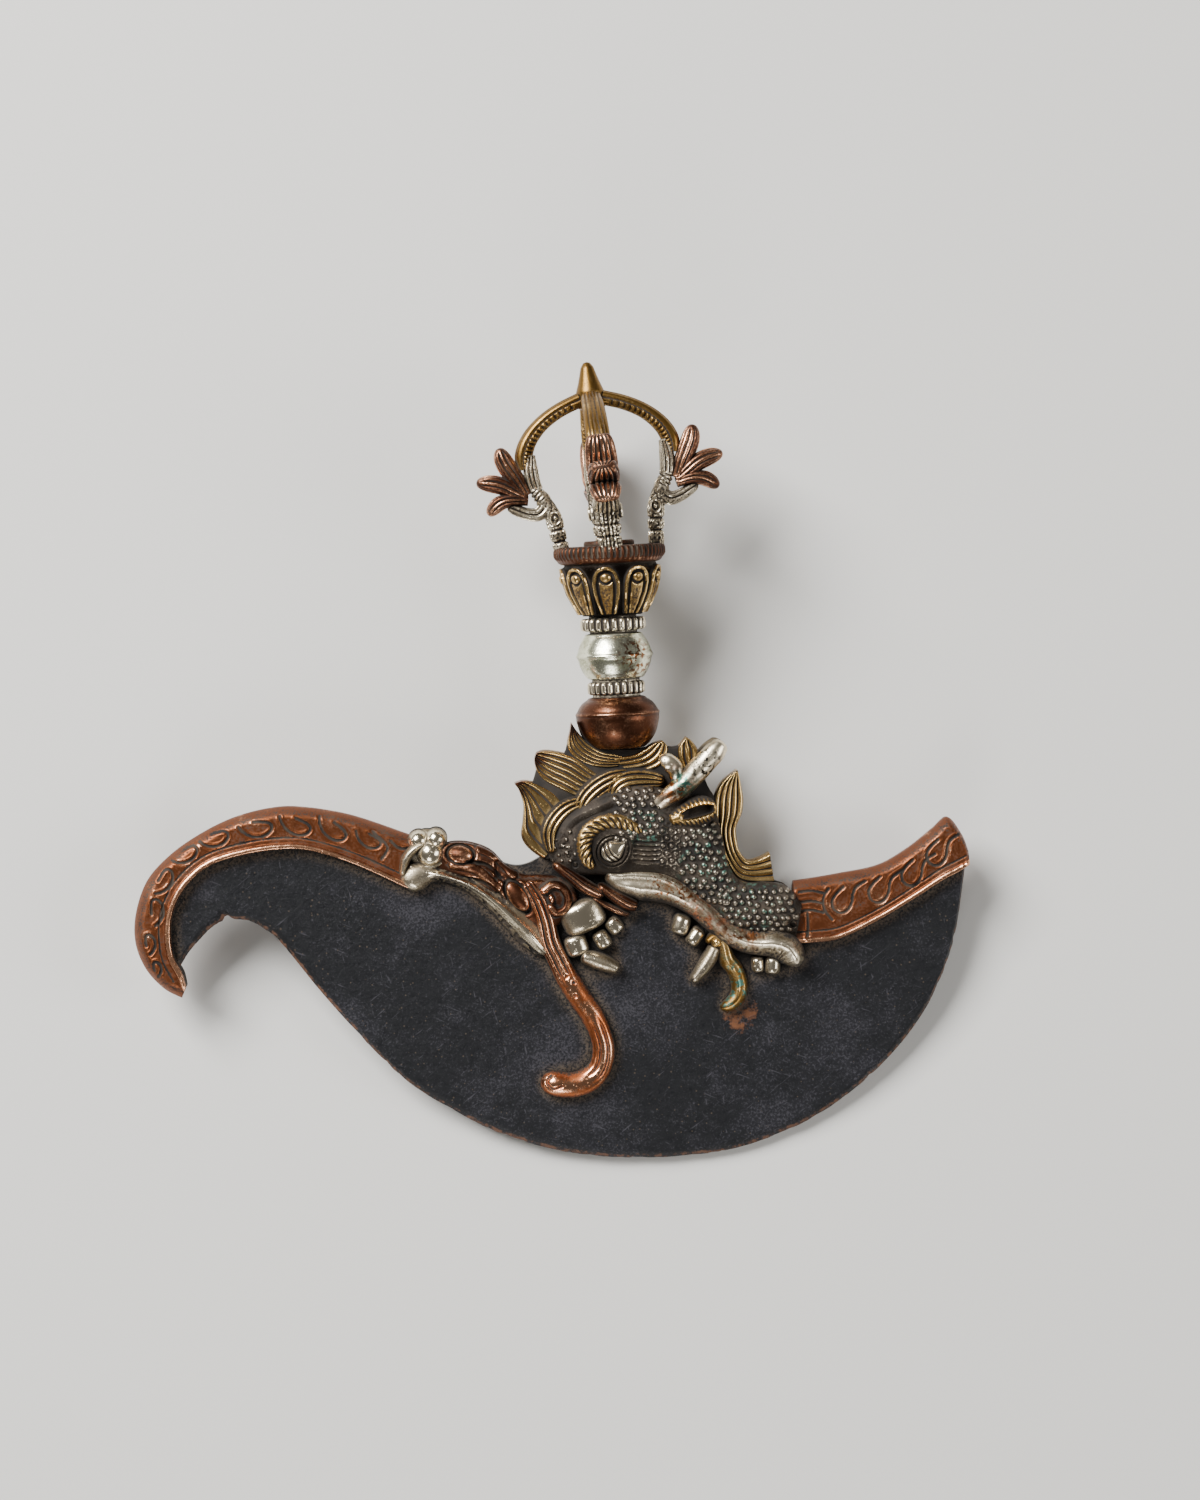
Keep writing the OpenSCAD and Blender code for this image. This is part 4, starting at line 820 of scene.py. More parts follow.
def make_finishes():
    """One finish for each metal and each way it was worked."""
    paint = bpy.context.scene.chopper_colours
    copper, old_copper = (paint.rubbed_copper, paint.copper), (paint.rubbed_copper, paint.old_copper)
    brass, silver = (paint.rubbed_brass, paint.brass), (paint.rubbed_silver, paint.silver)
    # The tips of the crest's locks are worn through to copper
    worn_tips = [
        (paint.copper, 2, 0.34, 0.52, at)
        for at in ((-17, -7.4, 4), (-13, -1.6, 4), (-5.4, 4.6, 4))
    ]
    # The lip is worn through to copper along the snout
    lip_stains = [
        (paint.bright_copper, 2, 0.42, 0.64, (22, -32.6, 7)), (paint.rust, 1.8, 0.4, 0.6, (28.5, -36.8, 7)),
        (paint.rust, 1.4, 0.48, 0.64, (18, -28.8, 8)), (paint.rust, 0.6, 0.5, 0.6, (15, -27.6, 9))
    ]
    # Rust and verdigris sit in the fork of the horn
    horn_stains = [
        (paint.rust, 1.4, 0.42, 0.52, (14.8, -8, 6)), (paint.verdigris, 1.2, 0.46, 0.54, (16.6, -7.4, 4)),
        (paint.grime, 0.9, 0.5, 0.57, (20.6, -3.2, 6))
    ]
    green_scales = [
        (paint.verdigris, 1.3, 0.5, 0.6, (9, -16, 5)), (paint.verdigris, 1.4, 0.5, 0.62, (22, -23, 8)),
        (paint.verdigris, 1.4, 0.52, 0.64, (31, -30.5, 9))
    ]
    return {
        "iron": blackened_iron(),
        # Turned copper, oiled by hands: deep brown-red with a soft highlight
        "bead_copper": aged_metal("turned_copper_bead", *old_copper, 0.2, 0.34, rub=(0.45, 1.2)),
        # Sheet copper, engraved and handled: brown with pinkish rubbed patches and dark strokes
        "sheath": aged_metal("engraved_sheet_copper", *copper, 0.26, 0.42, rub=(0.52, 0.95), uneven=0.6),
        # Cast copper kept bright by touch: pink-orange
        "tongue": aged_metal(
            "burnished_cast_copper", paint.rubbed_copper, paint.bright_copper, 0.18, 0.34, grime=(0.2, 0.5),
            pitting=0.5
        ),
        # Cast copper that no hand reaches: dark brown with pinkish crests
        "jaw": aged_metal(
            "brown_cast_copper", *old_copper, 0.22, 0.42, rub=(0.56, 0.98), grime=(0.24, 0.5), uneven=0.35
        ),
        # Chased brass: straw-gold ridges between black grooves
        "brass": aged_metal(
            "chased_brass", *brass, 0.22, 0.42, rub=(0.46, 0.98), grime=(0.44, 0.66), pitting=0.1,
            dusty=0.25, stains=worn_tips
        ),
        # Smooth brass of the arms and spike: old gold
        "arm": aged_metal("smooth_aged_brass", *brass, 0.2, 0.36, rub=(0.55, 1.1), grime=(0.2, 0.5)),
        # Silvered relief: white ridges with black pinholes and warm grey tarnish
        "silver": aged_metal(
            "rubbed_silver", *silver, 0.2, 0.46, rub=(0.4, 0.84), grime=(0.16, 0.48), pitting=0.7,
            uneven=0.3
        ),
        # Silver of the prongs and rings, with deeper tarnish
        "throat": aged_metal(
            "tarnished_silver", *silver, 0.2, 0.42, rub=(0.42, 0.74), grime=(0.4, 0.62), pitting=0.4
        ),
        # Cast copper of the flames, with bright ridges between dark grooves
        "flame": aged_metal(
            "ridged_cast_copper", *old_copper, 0.2, 0.4, rub=(0.48, 0.84), grime=(0.3, 0.55), uneven=0.3
        ),
        # Brown copper under the dust that lies round the feet of the cage
        "disc": aged_metal(
            "dusty_brown_copper", *old_copper, 0.24, 0.46, rub=(0.7, 1.15), grime=(0.36, 0.6), dusty=1.0
        ),
        # Silver of the eyes, rubbed smooth
        "eye": aged_metal("smooth_rubbed_silver", *silver, 0.2, 0.4, rub=(0.3, 0.7), pitting=0),
        # Thin silver of the snout, over copper
        "lip": aged_metal(
            "rubbed_silver_on_copper", *silver, 0.3, 0.48, rub=(0.3, 0.78), pitting=1.0, pit_mm=0.6,
            stains=lip_stains
        ),
        # Pitted silver of the horn
        "horn": aged_metal(
            "rubbed_silver_with_rust", *silver, 0.3, 0.46, rub=(0.3, 0.75), pitting=1.0, pit_mm=0.9,
            stains=horn_stains
        ),
        # Bronze scales under grey tarnish, with verdigris on some
        "scales": aged_metal(
            "tarnished_bronze", paint.rubbed_scales, paint.scales, 0.32, 0.55, rub=(0.6, 1),
            grime=(0.3, 0.62), uneven=0.3, dusty=0.6, stains=green_scales
        ),
        # Pale greenish silver bead, polished, with rust specks
        "bead": aged_metal(
            "polished_silver_bead", paint.rubbed_bead, paint.bead, 0.2, 0.32, rub=(0.3, 0.6), pitting=0.1,
            stains=[(paint.rust, 0.9, 0.5, 0.56, (7.4, 18, 6))]
        ),
        # Brass of the whisker, with verdigris where the blade kept damp
        "whisker": aged_metal(
            "brass_with_verdigris", *brass, 0.26, 0.46, pitting=0.6,
            stains=[(paint.verdigris, 1.2, 0.5, 0.6, (27, -48, 9))]
        ),
        # Blackened brass between the petals
        "cup": aged_metal("blackened_brass", paint.brass, paint.grime, 0.4, 0.6, rub=(0.6, 1.1), dusty=0.9),
    }


FINISHES = {}


def finish(key):
    if not FINISHES:
        FINISHES.update(make_finishes())
    return FINISHES[key]


# What a user would change


def length(name, description, mm, low, high):
    """A size in metres whose default and range are given in millimetres."""
    return bpy.props.FloatProperty(
        name=name, description=description, default=mm * MM, min=low * MM, max=high * MM, unit="LENGTH",
        precision=5
    )


def colour(name, description, code):
    return bpy.props.FloatVectorProperty(
        name=name, description=description, default=linear(code), size=4, min=0, max=1, subtype="COLOR"
    )


class ChopperSizes(bpy.types.PropertyGroup):
    engraving: length("Engraving depth", "Depth of the strokes cut into the copper sheaths", 0.3, 0.05, 0.6)
    sheath_rise: length("Sheath height", "Height of the copper sheaths above the blade", 2.1, 1.4, 2.6)
    hair_groove: length(
        "Hair groove depth", "Depth of the grooves between the strands of the crest", 0.8, 0.2, 1.4
    )
    scale_height: length("Scale height", "Height of the pebbled scales on the skull", 0.6, 0.1, 0.9)
    punch_depth: length("Punch depth", "Depth of the ring punches on the cheeks", 0.42, 0.1, 0.6)
    flame_groove: length(
        "Flame groove depth", "Depth of the grooves along the copper flames", 0.5, 0.1, 0.7
    )
    edge_nicks: length("Edge nicks", "Depth of the nicks along the cutting edge", 0.16, 0, 0.8)


class ChopperColours(bpy.types.PropertyGroup):
    iron: colour("Iron", "Blackened iron of the blade", "#090a0e")
    iron_haze: colour("Iron haze", "Paler clouds on the iron", "#131318")
    iron_scuffs: colour("Iron scuffs", "Scuffs and scratches on the iron", "#47454b")
    bare_edge: colour("Bare edge", "Cutting edge where the black is worn off", "#6f4d3a")
    copper: colour("Copper", "Handled copper", "#7b482d")
    old_copper: colour("Old copper", "Brown copper out of reach", "#563525")
    bright_copper: colour("Bright copper", "Copper kept bright by touch", "#b5683f")
    rubbed_copper: colour("Rubbed copper", "Copper ridges rubbed bright", "#e9ae88")
    brass: colour("Brass", "Chased brass", "#7e5f30")
    rubbed_brass: colour("Rubbed brass", "Brass ridges rubbed bright", "#ebc684")
    silver: colour("Silver", "Silver under light tarnish", "#897b64")
    rubbed_silver: colour("Rubbed silver", "Silver rubbed bright", "#f5e7cb")
    bead: colour("Bead", "Pale silver of the bead", "#b3b595")
    rubbed_bead: colour("Rubbed bead", "Bright band of the bead", "#f2f2d8")
    scales: colour("Scales", "Tarnished bronze of the head", "#332d27")
    rubbed_scales: colour("Rubbed scales", "Tops of the scales", "#94897a")
    # Grime and dust also stand in for shade: both as painted shade in the creases of the metals, and grime
    # alone as a black line of painted shade round the foot of the ornament on the blade
    grime: colour("Grime", "Black tarnish in the hollows", "#120e0b")
    dust: colour("Dust", "Old dust in the hollows", "#55493c")
    verdigris: colour("Verdigris", "Green corrosion", "#5a8576")
    rust: colour("Rust", "Rust and bare copper stains", "#84522f")


def sizes():
    return bpy.context.scene.chopper_sizes


class PieceMaker(bpy.types.Operator):
    bl_options = {"REGISTER", "UNDO"}


class ForgeBlade(PieceMaker):
    """Forges the crescent iron plate, with a ground and nicked cutting edge"""

    bl_idname = "chopper.forge_blade"
    bl_label = "Blade"

    def execute(self, context):
        count, across = 390, 54
        u = np.linspace(0, 1, count)
        edge, top = curve_at(BELLY, u), curve_at(UNDER_ORNAMENT, u)
        shake = np.random.default_rng(11)
        nick = sizes().edge_nicks / MM
        nicks = np.abs(grained((count, 2), 5, 2)[:, 0]) ** 3 * nick
        for place in shake.uniform(0.04, 0.97, 26):
            nicks += shake.uniform(0.3, 1) * nick * bell(u - place, 0.0016)
        notch = np.hypot(edge[:, 0] - NOTCH[0], edge[:, 1] - NOTCH[1])
        nicks += NOTCH_DEPTH * clamp(1 - notch / NOTCH_DEPTH)
        edge = edge + left_of(BELLY, u) * nicks[:, None]
        share = np.linspace(0, 1, across)[None, :] ** 1.7
        xy = edge[:, None] + (top - edge)[:, None] * share[..., None]
        d = np.linalg.norm(top - edge, axis=1)[:, None] * share
        ground = GRIND * (0.85 + 0.3 * grained((count, 2), 22, 5)[:, :1])
        z = EDGE_HALF + (CHEEK - EDGE_HALF) * clamp(d / ground) ** 0.8
        z += 0.035 * grained((count, across), 26, 7) * eased(d, 1, 4)
        z += 0.02 * grained((count, across), 7, 8)
        worn = 1 - 0.75 * eased(d, 0.5, 1.6) - 0.25 * eased(d, 1.2, 3.2)
        obj = two_faced(with_height(xy, z), worn)
        hand_over(obj, "forged_iron_blade", ["blade_plate"], "iron")
        return {"FINISHED"}


class FoldSheaths(PieceMaker):
    """Folds engraved sheet copper round the hook and round the blade's tip"""

    bl_idname = "chopper.fold_sheaths"
    bl_label = "Copper sheaths"

    def execute(self, context):
        rise, deep = sizes().sheath_rise / MM, sizes().engraving / MM
        outer = [
            (-83.8, -50.1), (-87.4, -48.2), (-91, -44.3), (-93.1, -39), (-93, -33), (-90.7, -26.4),
            (-86, -21.2), (-80, -17), (-73.5, -13.8), (-66.4, -11.9), (-60, -11.6), (-50, -13.2),
            (-38, -17.2)
        ]
        inner = [
            (-82.8, -47.5), (-83.4, -45), (-85, -42), (-85.7, -38.6), (-85.6, -34), (-84, -29.5),
            (-81, -25.7), (-77, -23), (-71, -21.2), (-64.4, -20.2), (-58, -20.4), (-49, -23.2), (-38.5, -28)
        ]
        commas = (
            ((-88.6, -43.5), 1.1, 100), ((-90, -38.3), 1.45, 95), ((-88.6, -31.6), 1.9, 90),
            ((-86.6, -25.7), 2.0, 60), ((-82, -20.8), 2.0, 27), ((-76, -17.8), 2.1, 15),
            ((-67.6, -16), 2.4, 0), ((-60, -15.8), 2.4, -25), ((-52.8, -16.8), 2.4, -40),
            ((-45.6, -18.6), 2.0, -30)
        )
        strokes = [motif(COMMA, at, size, turn) for at, size, turn in commas]
        strokes += [
            [(-45.6, -16.4), (-42.6, -19.4), (-43.8, -21.9)], [(-42, -18.2), (-40.4, -19.6), (-38.4, -19.8)]
        ]
        obj = sheath_form(outer, inner, rise, 470, 54, strokes, deep)
        hand_over(obj, "engraved_hook_sheath", ["hook_sheath"], "sheath")

        outer = [
            (39, -26.2), (43, -25.6), (48, -24.7), (56, -23), (62, -19.6), (67, -15.6), (70.1, -13.2),
            (73, -16.6), (74.4, -20)
        ]
        inner = [
            (39, -38.9), (43, -38.6), (48.4, -37.8), (56, -34.1), (63, -29.9), (69, -26), (71.6, -24.6),
            (73.1, -23.7), (74.4, -22.9)
        ]
        strokes = [
            motif(TEARDROP, at, 2.0, 0)
            for at in ((48.6, -30.4), (56, -28.3), (62.6, -24.9), (67.6, -20.8))
        ]
        strokes += [[(46, -27.6), (45, -29.4), (45.2, -31.8), (46.8, -33.8)]]
        strokes += [[(40, y), (42.6, y + 0.3), (45, y - 0.2)] for y in (-28.3, -30.4, -32.2)]
        strokes += [[(41.8, -32.6), (41.9, -35), (41.8, -37.4)]]
        obj = sheath_form(outer, inner, rise, 200, 72, strokes, deep)
        hand_over(obj, "engraved_tip_sheath", ["tip_sheath"], "sheath")
        return {"FINISHED"}


class ChaseCrest(PieceMaker):
    """Chases the flame crest behind the head, lock by lock over a plain plate, and the fin down the neck"""

    bl_idname = "chopper.chase_crest"
    bl_label = "Crest and fin"

    def execute(self, context):
        deep = sizes().hair_groove / MM
        outline = [
            (-10.6, -21.9), (-14.4, -18.4), (-15, -12.4), (-15.4, -8), (-13.6, -6.6), (-12.6, -3.4),
            (-11, -0.7), (-7.4, -1), (-6, 3.6), (-4, 2.6), (0.4, 0.6), (3.2, 0.3), (7, 0.3), (11, 0.9),
            (14.6, 0.7), (18, 1.2), (19.6, -2), (21.6, -7), (23.2, -10), (22, -14), (12, -14), (2, -14),
            (-5, -20)
        ]
        locks = (
            (
                [
                    [(-17.2, -6.7), (-17, -6.6)], [(-16.2, -8.3), (-15.4, -6.1)],
                    [(-15.4, -11.1), (-13.8, -6.3)], [(-15.5, -14.2), (-11.6, -7.1)],
                    [(-15.8, -17.2), (-9.4, -8.3)], [(-14.8, -19.2), (-7.6, -10.2)],
                    [(-13, -20.8), (-6.4, -12.4)], [(-11.4, -21.8), (-5.4, -14.8)]
                ],
                5
            ),
            (
                [
                    [(-13.1, -1.2), (-13, -1)], [(-13.2, -2.4), (-12.6, -0.4)], [(-12.6, -4.5), (-11, 0)],
                    [(-11, -6.3), (-8, -0.4)], [(-8, -7.9), (-5, -1.4)], [(-5, -9.3), (-2, -3.6)],
                    [(-2.4, -10), (0, -5.1)]
                ],
                6
            ),
            (
                [
                    [(-5.9, 5.4), (-5.8, 5.5)], [(-6.2, 3.6), (-4.9, 4.1)], [(-6.6, 1.8), (-4, 3)],
                    [(-6.5, 0.2), (-2.4, 1.4)], [(-5.2, -1.4), (-0.6, 0.3)], [(-2.6, -2.8), (1.2, -0.4)],
                    [(0.4, -3.4), (2.8, -0.6)], [(3.4, -3.2), (4.4, -1)]
                ],
                5
            ),
            (
                [
                    [(12.3, 2), (12.6, 1.9)], [(10.6, 1.5), (13.5, 0.8)], [(8.6, 0.3), (13.4, -1.4)],
                    [(6.6, -0.7), (12.2, -3)], [(4.2, -1.1), (9.6, -4.2)], [(2.4, -1.4), (6.2, -4.6)]
                ],
                4
            ),
            (
                [
                    [(17.2, 2.7), (17.4, 2.7)], [(15.9, 1.2), (18.6, 1.8)], [(15.4, 0.2), (19.6, 0.2)],
                    [(15.6, -1.6), (19.8, -1.8)], [(16.4, -3.4), (20.2, -4)]
                ],
                3
            )
        )
        pieces = [plate(outline, CREST_CORE, CREST_RIM)]
        pieces += [leaf(edges, 96, ridges * 12, ridges, deep) for edges, ridges in locks]
        hand_over(joined(pieces), "chased_flame_crest", ["mane_crest"], "brass")

        edges = [
            [(27.4, -3.9), (27.6, -3.8)], [(25.4, -5.3), (28.1, -5.6)], [(23.9, -7), (28.5, -7.6)],
            [(23, -9.6), (28.8, -9.8)], [(22.9, -12.8), (28.5, -12.7)], [(23, -16.6), (27.4, -15.4)],
            [(23.6, -20), (27.6, -18.2)], [(25, -23.2), (28.2, -20.2)], [(27, -26.2), (29.7, -21.9)],
            [(30.2, -27.6), (31.8, -21.6)], [(35.4, -28), (34.1, -20.4)]
        ]
        obj = leaf(edges, 160, 50, 5, deep)
        hand_over(obj, "chased_neck_fin", ["mane_fin"], "brass")

        groove = lambda xy, u, v: deep * eased(u, 0, 0.1) * (strands((1 - v) / 2, 4) - 1)
        paths = (
            [(2.4, -9.4), (3.3, -7.2), (5.6, -5.9), (9.2, -5.6), (12.8, -6)],
            [(-4, -13.2), (-3.2, -10.2), (-0.9, -7.6), (2.4, -5.6), (6, -4.6)],
            [(-9.6, -20.4), (-9.9, -16.8), (-8.7, -13.9), (-6.2, -11.5), (-2.4, -10)]
        )
        locks = [
            strip(
                path, [1.2, 2.1, 2.3, 2.1, 1.3], [0.96, 1, 1, 0.96, 0.86], MANE_FACE - 0.3, 4.0, count=100,
                across=66, side=0.5, detail=groove, ends=(0.08, 0.1)
            )
            for path in paths
        ]
        on_both_faces(joined(locks), "chased_mane_locks", "mane_locks", "brass")
        return {"FINISHED"}


class ChaseHead(PieceMaker):
    """Chases the scaled skull with its brow, ear, eye and horn"""

    bl_idname = "chopper.chase_head"
    bl_label = "Head"

    def execute(self, context):
        tall, deep = sizes().scale_height / MM, sizes().punch_depth / MM
        edges = [
            [(-10.4, -20.6), (-9.6, -22.7)], [(-9.6, -16.2), (-7.5, -24)], [(-7, -12.6), (-4, -24.9)],
            [(-3, -9.7), (0, -24.9)], [(2, -7.7), (4, -25.4)], [(8, -6.5), (8, -25.4)],
            [(13, -7.6), (12, -25.6)], [(18, -9.1), (15, -26.6)], [(22.6, -11.1), (17.5, -28.6)],
            [(24.4, -16.6), (20, -30.6)], [(25.8, -22.6), (23, -32.6)], [(28.6, -26.2), (26, -35)],
            [(33, -26.2), (30.6, -36.4)], [(37.4, -27), (35, -37)], [(40.6, -30.6), (39.4, -37.4)]
        ]
        tops = [0.4, 0.66, 0.88, 1, 1.06, 1.06, 1.02, 0.98, 0.94, 0.92, 0.92, 0.96, 1, 0.96, 0.66]
        zones = (
            ((3, -17.5), (12.5, -6.8), 1.6, 0.68, 21), ((16.6, -30), (26, -14), 1.65, 0.68, 22),
            ((24, -35.8), (39, -26.5), 1.55, 0.62, 23), ((-9.5, -22), (-5, -16), 1.7, 0.4, 24)
        )

        def detail(xy, u, share):
            extra = np.zeros(u.shape)
            for low, high, pitch, radius, seed in zones:
                extra = np.maximum(extra, pebbled(xy, spread_over(low, high, pitch, seed), radius, tall))
            cheek_bulge = inside(xy, (11.6, -23), (16.4, -14.4), 1)
            smooth = np.maximum(cheek_bulge, inside(xy, (6.6, -21.6), (11.4, -17), 0.5))
            extra = extra * (1 - smooth) + 0.55 * cheek_bulge
            extra += (
                ringed(xy, spread_over((11.6, -23.4), (17.4, -13.6), 1.75, 25, 0.06), 0.62, deep)
                * cheek_bulge
            )
            furrows = [
                [(6.9, y), (9.2, y - 0.25), (11.5, y - 0.2)]
                for y in (-18, -18.95, -19.9, -20.85, -21.8)
            ]
            extra += engraved(xy, furrows, 0.75, 0.6)
            temple = clamp(1 - distance_to(xy, [[(-8.4, -18.4), (-5.6, -13.6), (2, -10)]]) / 1.3)
            extra = extra * (1 - temple) + 0.5 * temple**0.5
            extra += ringed(xy, [(-7, -19.2), (-6.4, -20.8), (-5, -22.7)], 0.62, 0.35)
            extra += (
                mound(xy, (37.2, -33.4), (1.1, 0.9), 0, 0.7) + mound(xy, (39.4, -33), (0.9, 0.8), 0, 0.6)
            )
            return extra - mound(xy, (38.6, -34.8), (0.8, 0.6), 0, 1)

        obj = cheek(edges, tops, 5, 290, 136, detail, cells=4, span=0.5)
        on_both_faces(obj, "scaled_skull", "skull", "scales")

        path = [
            (-1.2, -23.5), (-2.9, -21.4), (-3.4, -18.3), (-2.3, -15.7), (0.4, -14.1), (3.4, -13.9),
            (6.2, -14.9), (8.6, -16.3)
        ]
        wide = [0.9, 1.75, 2, 2.1, 2.1, 2.05, 1.7, 0.7]
        tops = [0.86, 0.94, 1, 1, 1, 1, 0.98, 0.9]

        def lashes(xy, u, v):
            return 0.55 * (strands(u + 1.1 / 15 * v, 15) - 1) * eased(-v, -0.45, -0.3)

        obj = strip(path, wide, tops, 3.4, 6.4, 230, 38, detail=lashes, ends=(0.05, 0.06))
        on_both_faces(obj, "grooved_brow", "brow", "brass")

        def hollow(xy, u, v):
            bowl = eased(u, 0.2, 0.42) * eased(-u, -0.93, -0.82) * eased(-np.abs(v - 0.04), -0.42, -0.24)
            cord = 0.45 * (strands(u + 0.08 * v, 12, 0.7) - 0.7) * eased(np.abs(v), 0.34, 0.5)
            return cord - 2.2 * bowl

        path = [(13.6, -13.8), (16.2, -13), (18.8, -12.2), (21.2, -11.6), (23.4, -11.2)]
        wide = [1.2, 2.2, 3, 2.8, 1.3]
        obj = strip(
            path, wide, [0.94, 1, 1.06, 1.04, 0.96], 3.4, 6.4, 160, 54, detail=hollow, ends=(0.1, 0.12)
        )
        on_both_faces(obj, "roped_ear", "ear", "brass")

        oval = Matrix.Translation((EYE_AT[0] * MM, EYE_AT[1] * MM, 0)) @ turn_by(EYE_TURN)
        profile = [
            (3.9, 3.6), (3.9, 6.7), (3.75, 7.2), (3.5, 7.25), (3.35, 6.8), (3.2, 6.7), (3.05, 7.2),
            (2.8, 7.25), (2.6, 6.9), (2.5, 5.9), (2.5, 3.6)
        ]
        socket = turned(profile, 100, 84, crisp=True)
        wear_by_height(socket, 6.3, 7.7)
        co = mesh_places(socket)
        corner = clamp(co[:, 0] / 3.9) ** 3
        place_mesh(socket, co * np.column_stack([1 + 0.24 * corner, 0.92 - 0.2 * corner, np.ones(len(co))]))
        socket.data.transform(oval)
        on_both_faces(socket, "ringed_eye_socket", "eye_socket", "scales")

        profile = [
            (0, 3.6), (2.2, 3.6), (2.35, 6.2), (2.2, 6.9), (1.8, 7.4), (1.2, 7.75), (0.5, 7.9), (0, 7.95)
        ]
        eye = turned(profile, 70, 72)
        co = mesh_places(eye)
        corner = clamp(co[:, 0] / 2.1) ** 2
        co *= np.column_stack([1 + 0.32 * corner, 0.95 - 0.45 * corner, np.ones(len(co))])
        arc = np.min([np.abs(co[:, 0] - 0.14 * co[:, 1] ** 2 - x) for x in (-1.35, -0.45)], axis=0)
        cut = np.where(co[:, 2] > 6, clamp(1 - arc / 0.36), 0)
        place_mesh(eye, co - np.outer(0.6 * cut, (0, 0, 1)))
        wear_by_place(eye, lambda co, worn: (co[:, 2] - 5.2) / 2 - 1.4 * cut)
        eye.data.transform(oval)
        on_both_faces(eye, "domed_eyeball", "eyeball", "eye")

        height = MANE_FACE + 3
        ripple = lambda u, a: 0.09 * np.sin(26 * u + 2 * np.sin(a)) * (1 - u) + 0.05 * np.sin(3 * a + 9 * u)
        horn = rope(
            [
                (11.2, -11, height - 0.6), (13.4, -9, height), (16.4, -6.8, height - 0.2),
                (19.2, -4, height - 0.9), (21.6, -1.4, height - 1.5), (23.2, 0.4, height - 1.8),
                (24.4, 2, height - 2)
            ],
            [1.1, 1.8, 2.25, 2.3, 2.25, 2.1, 1.5], 170, 36, detail=ripple, ends=(0.05, 0.09)
        )
        twig = rope(
            [
                (15.4, -8.4, height - 0.6), (15.5, -5.6, height - 0.6), (14.9, -3.4, height - 0.9),
                (13.4, -2.2, height - 1.2), (12.2, -2.8, height - 1.4)
            ],
            [1.4, 1.6, 1.7, 1.8, 1.5], 110, 32, detail=ripple, ends=(0.05, 0.16)
        )
        on_both_faces(joined([horn, twig]), "branched_horn", "horn", "horn")
        return {"FINISHED"}


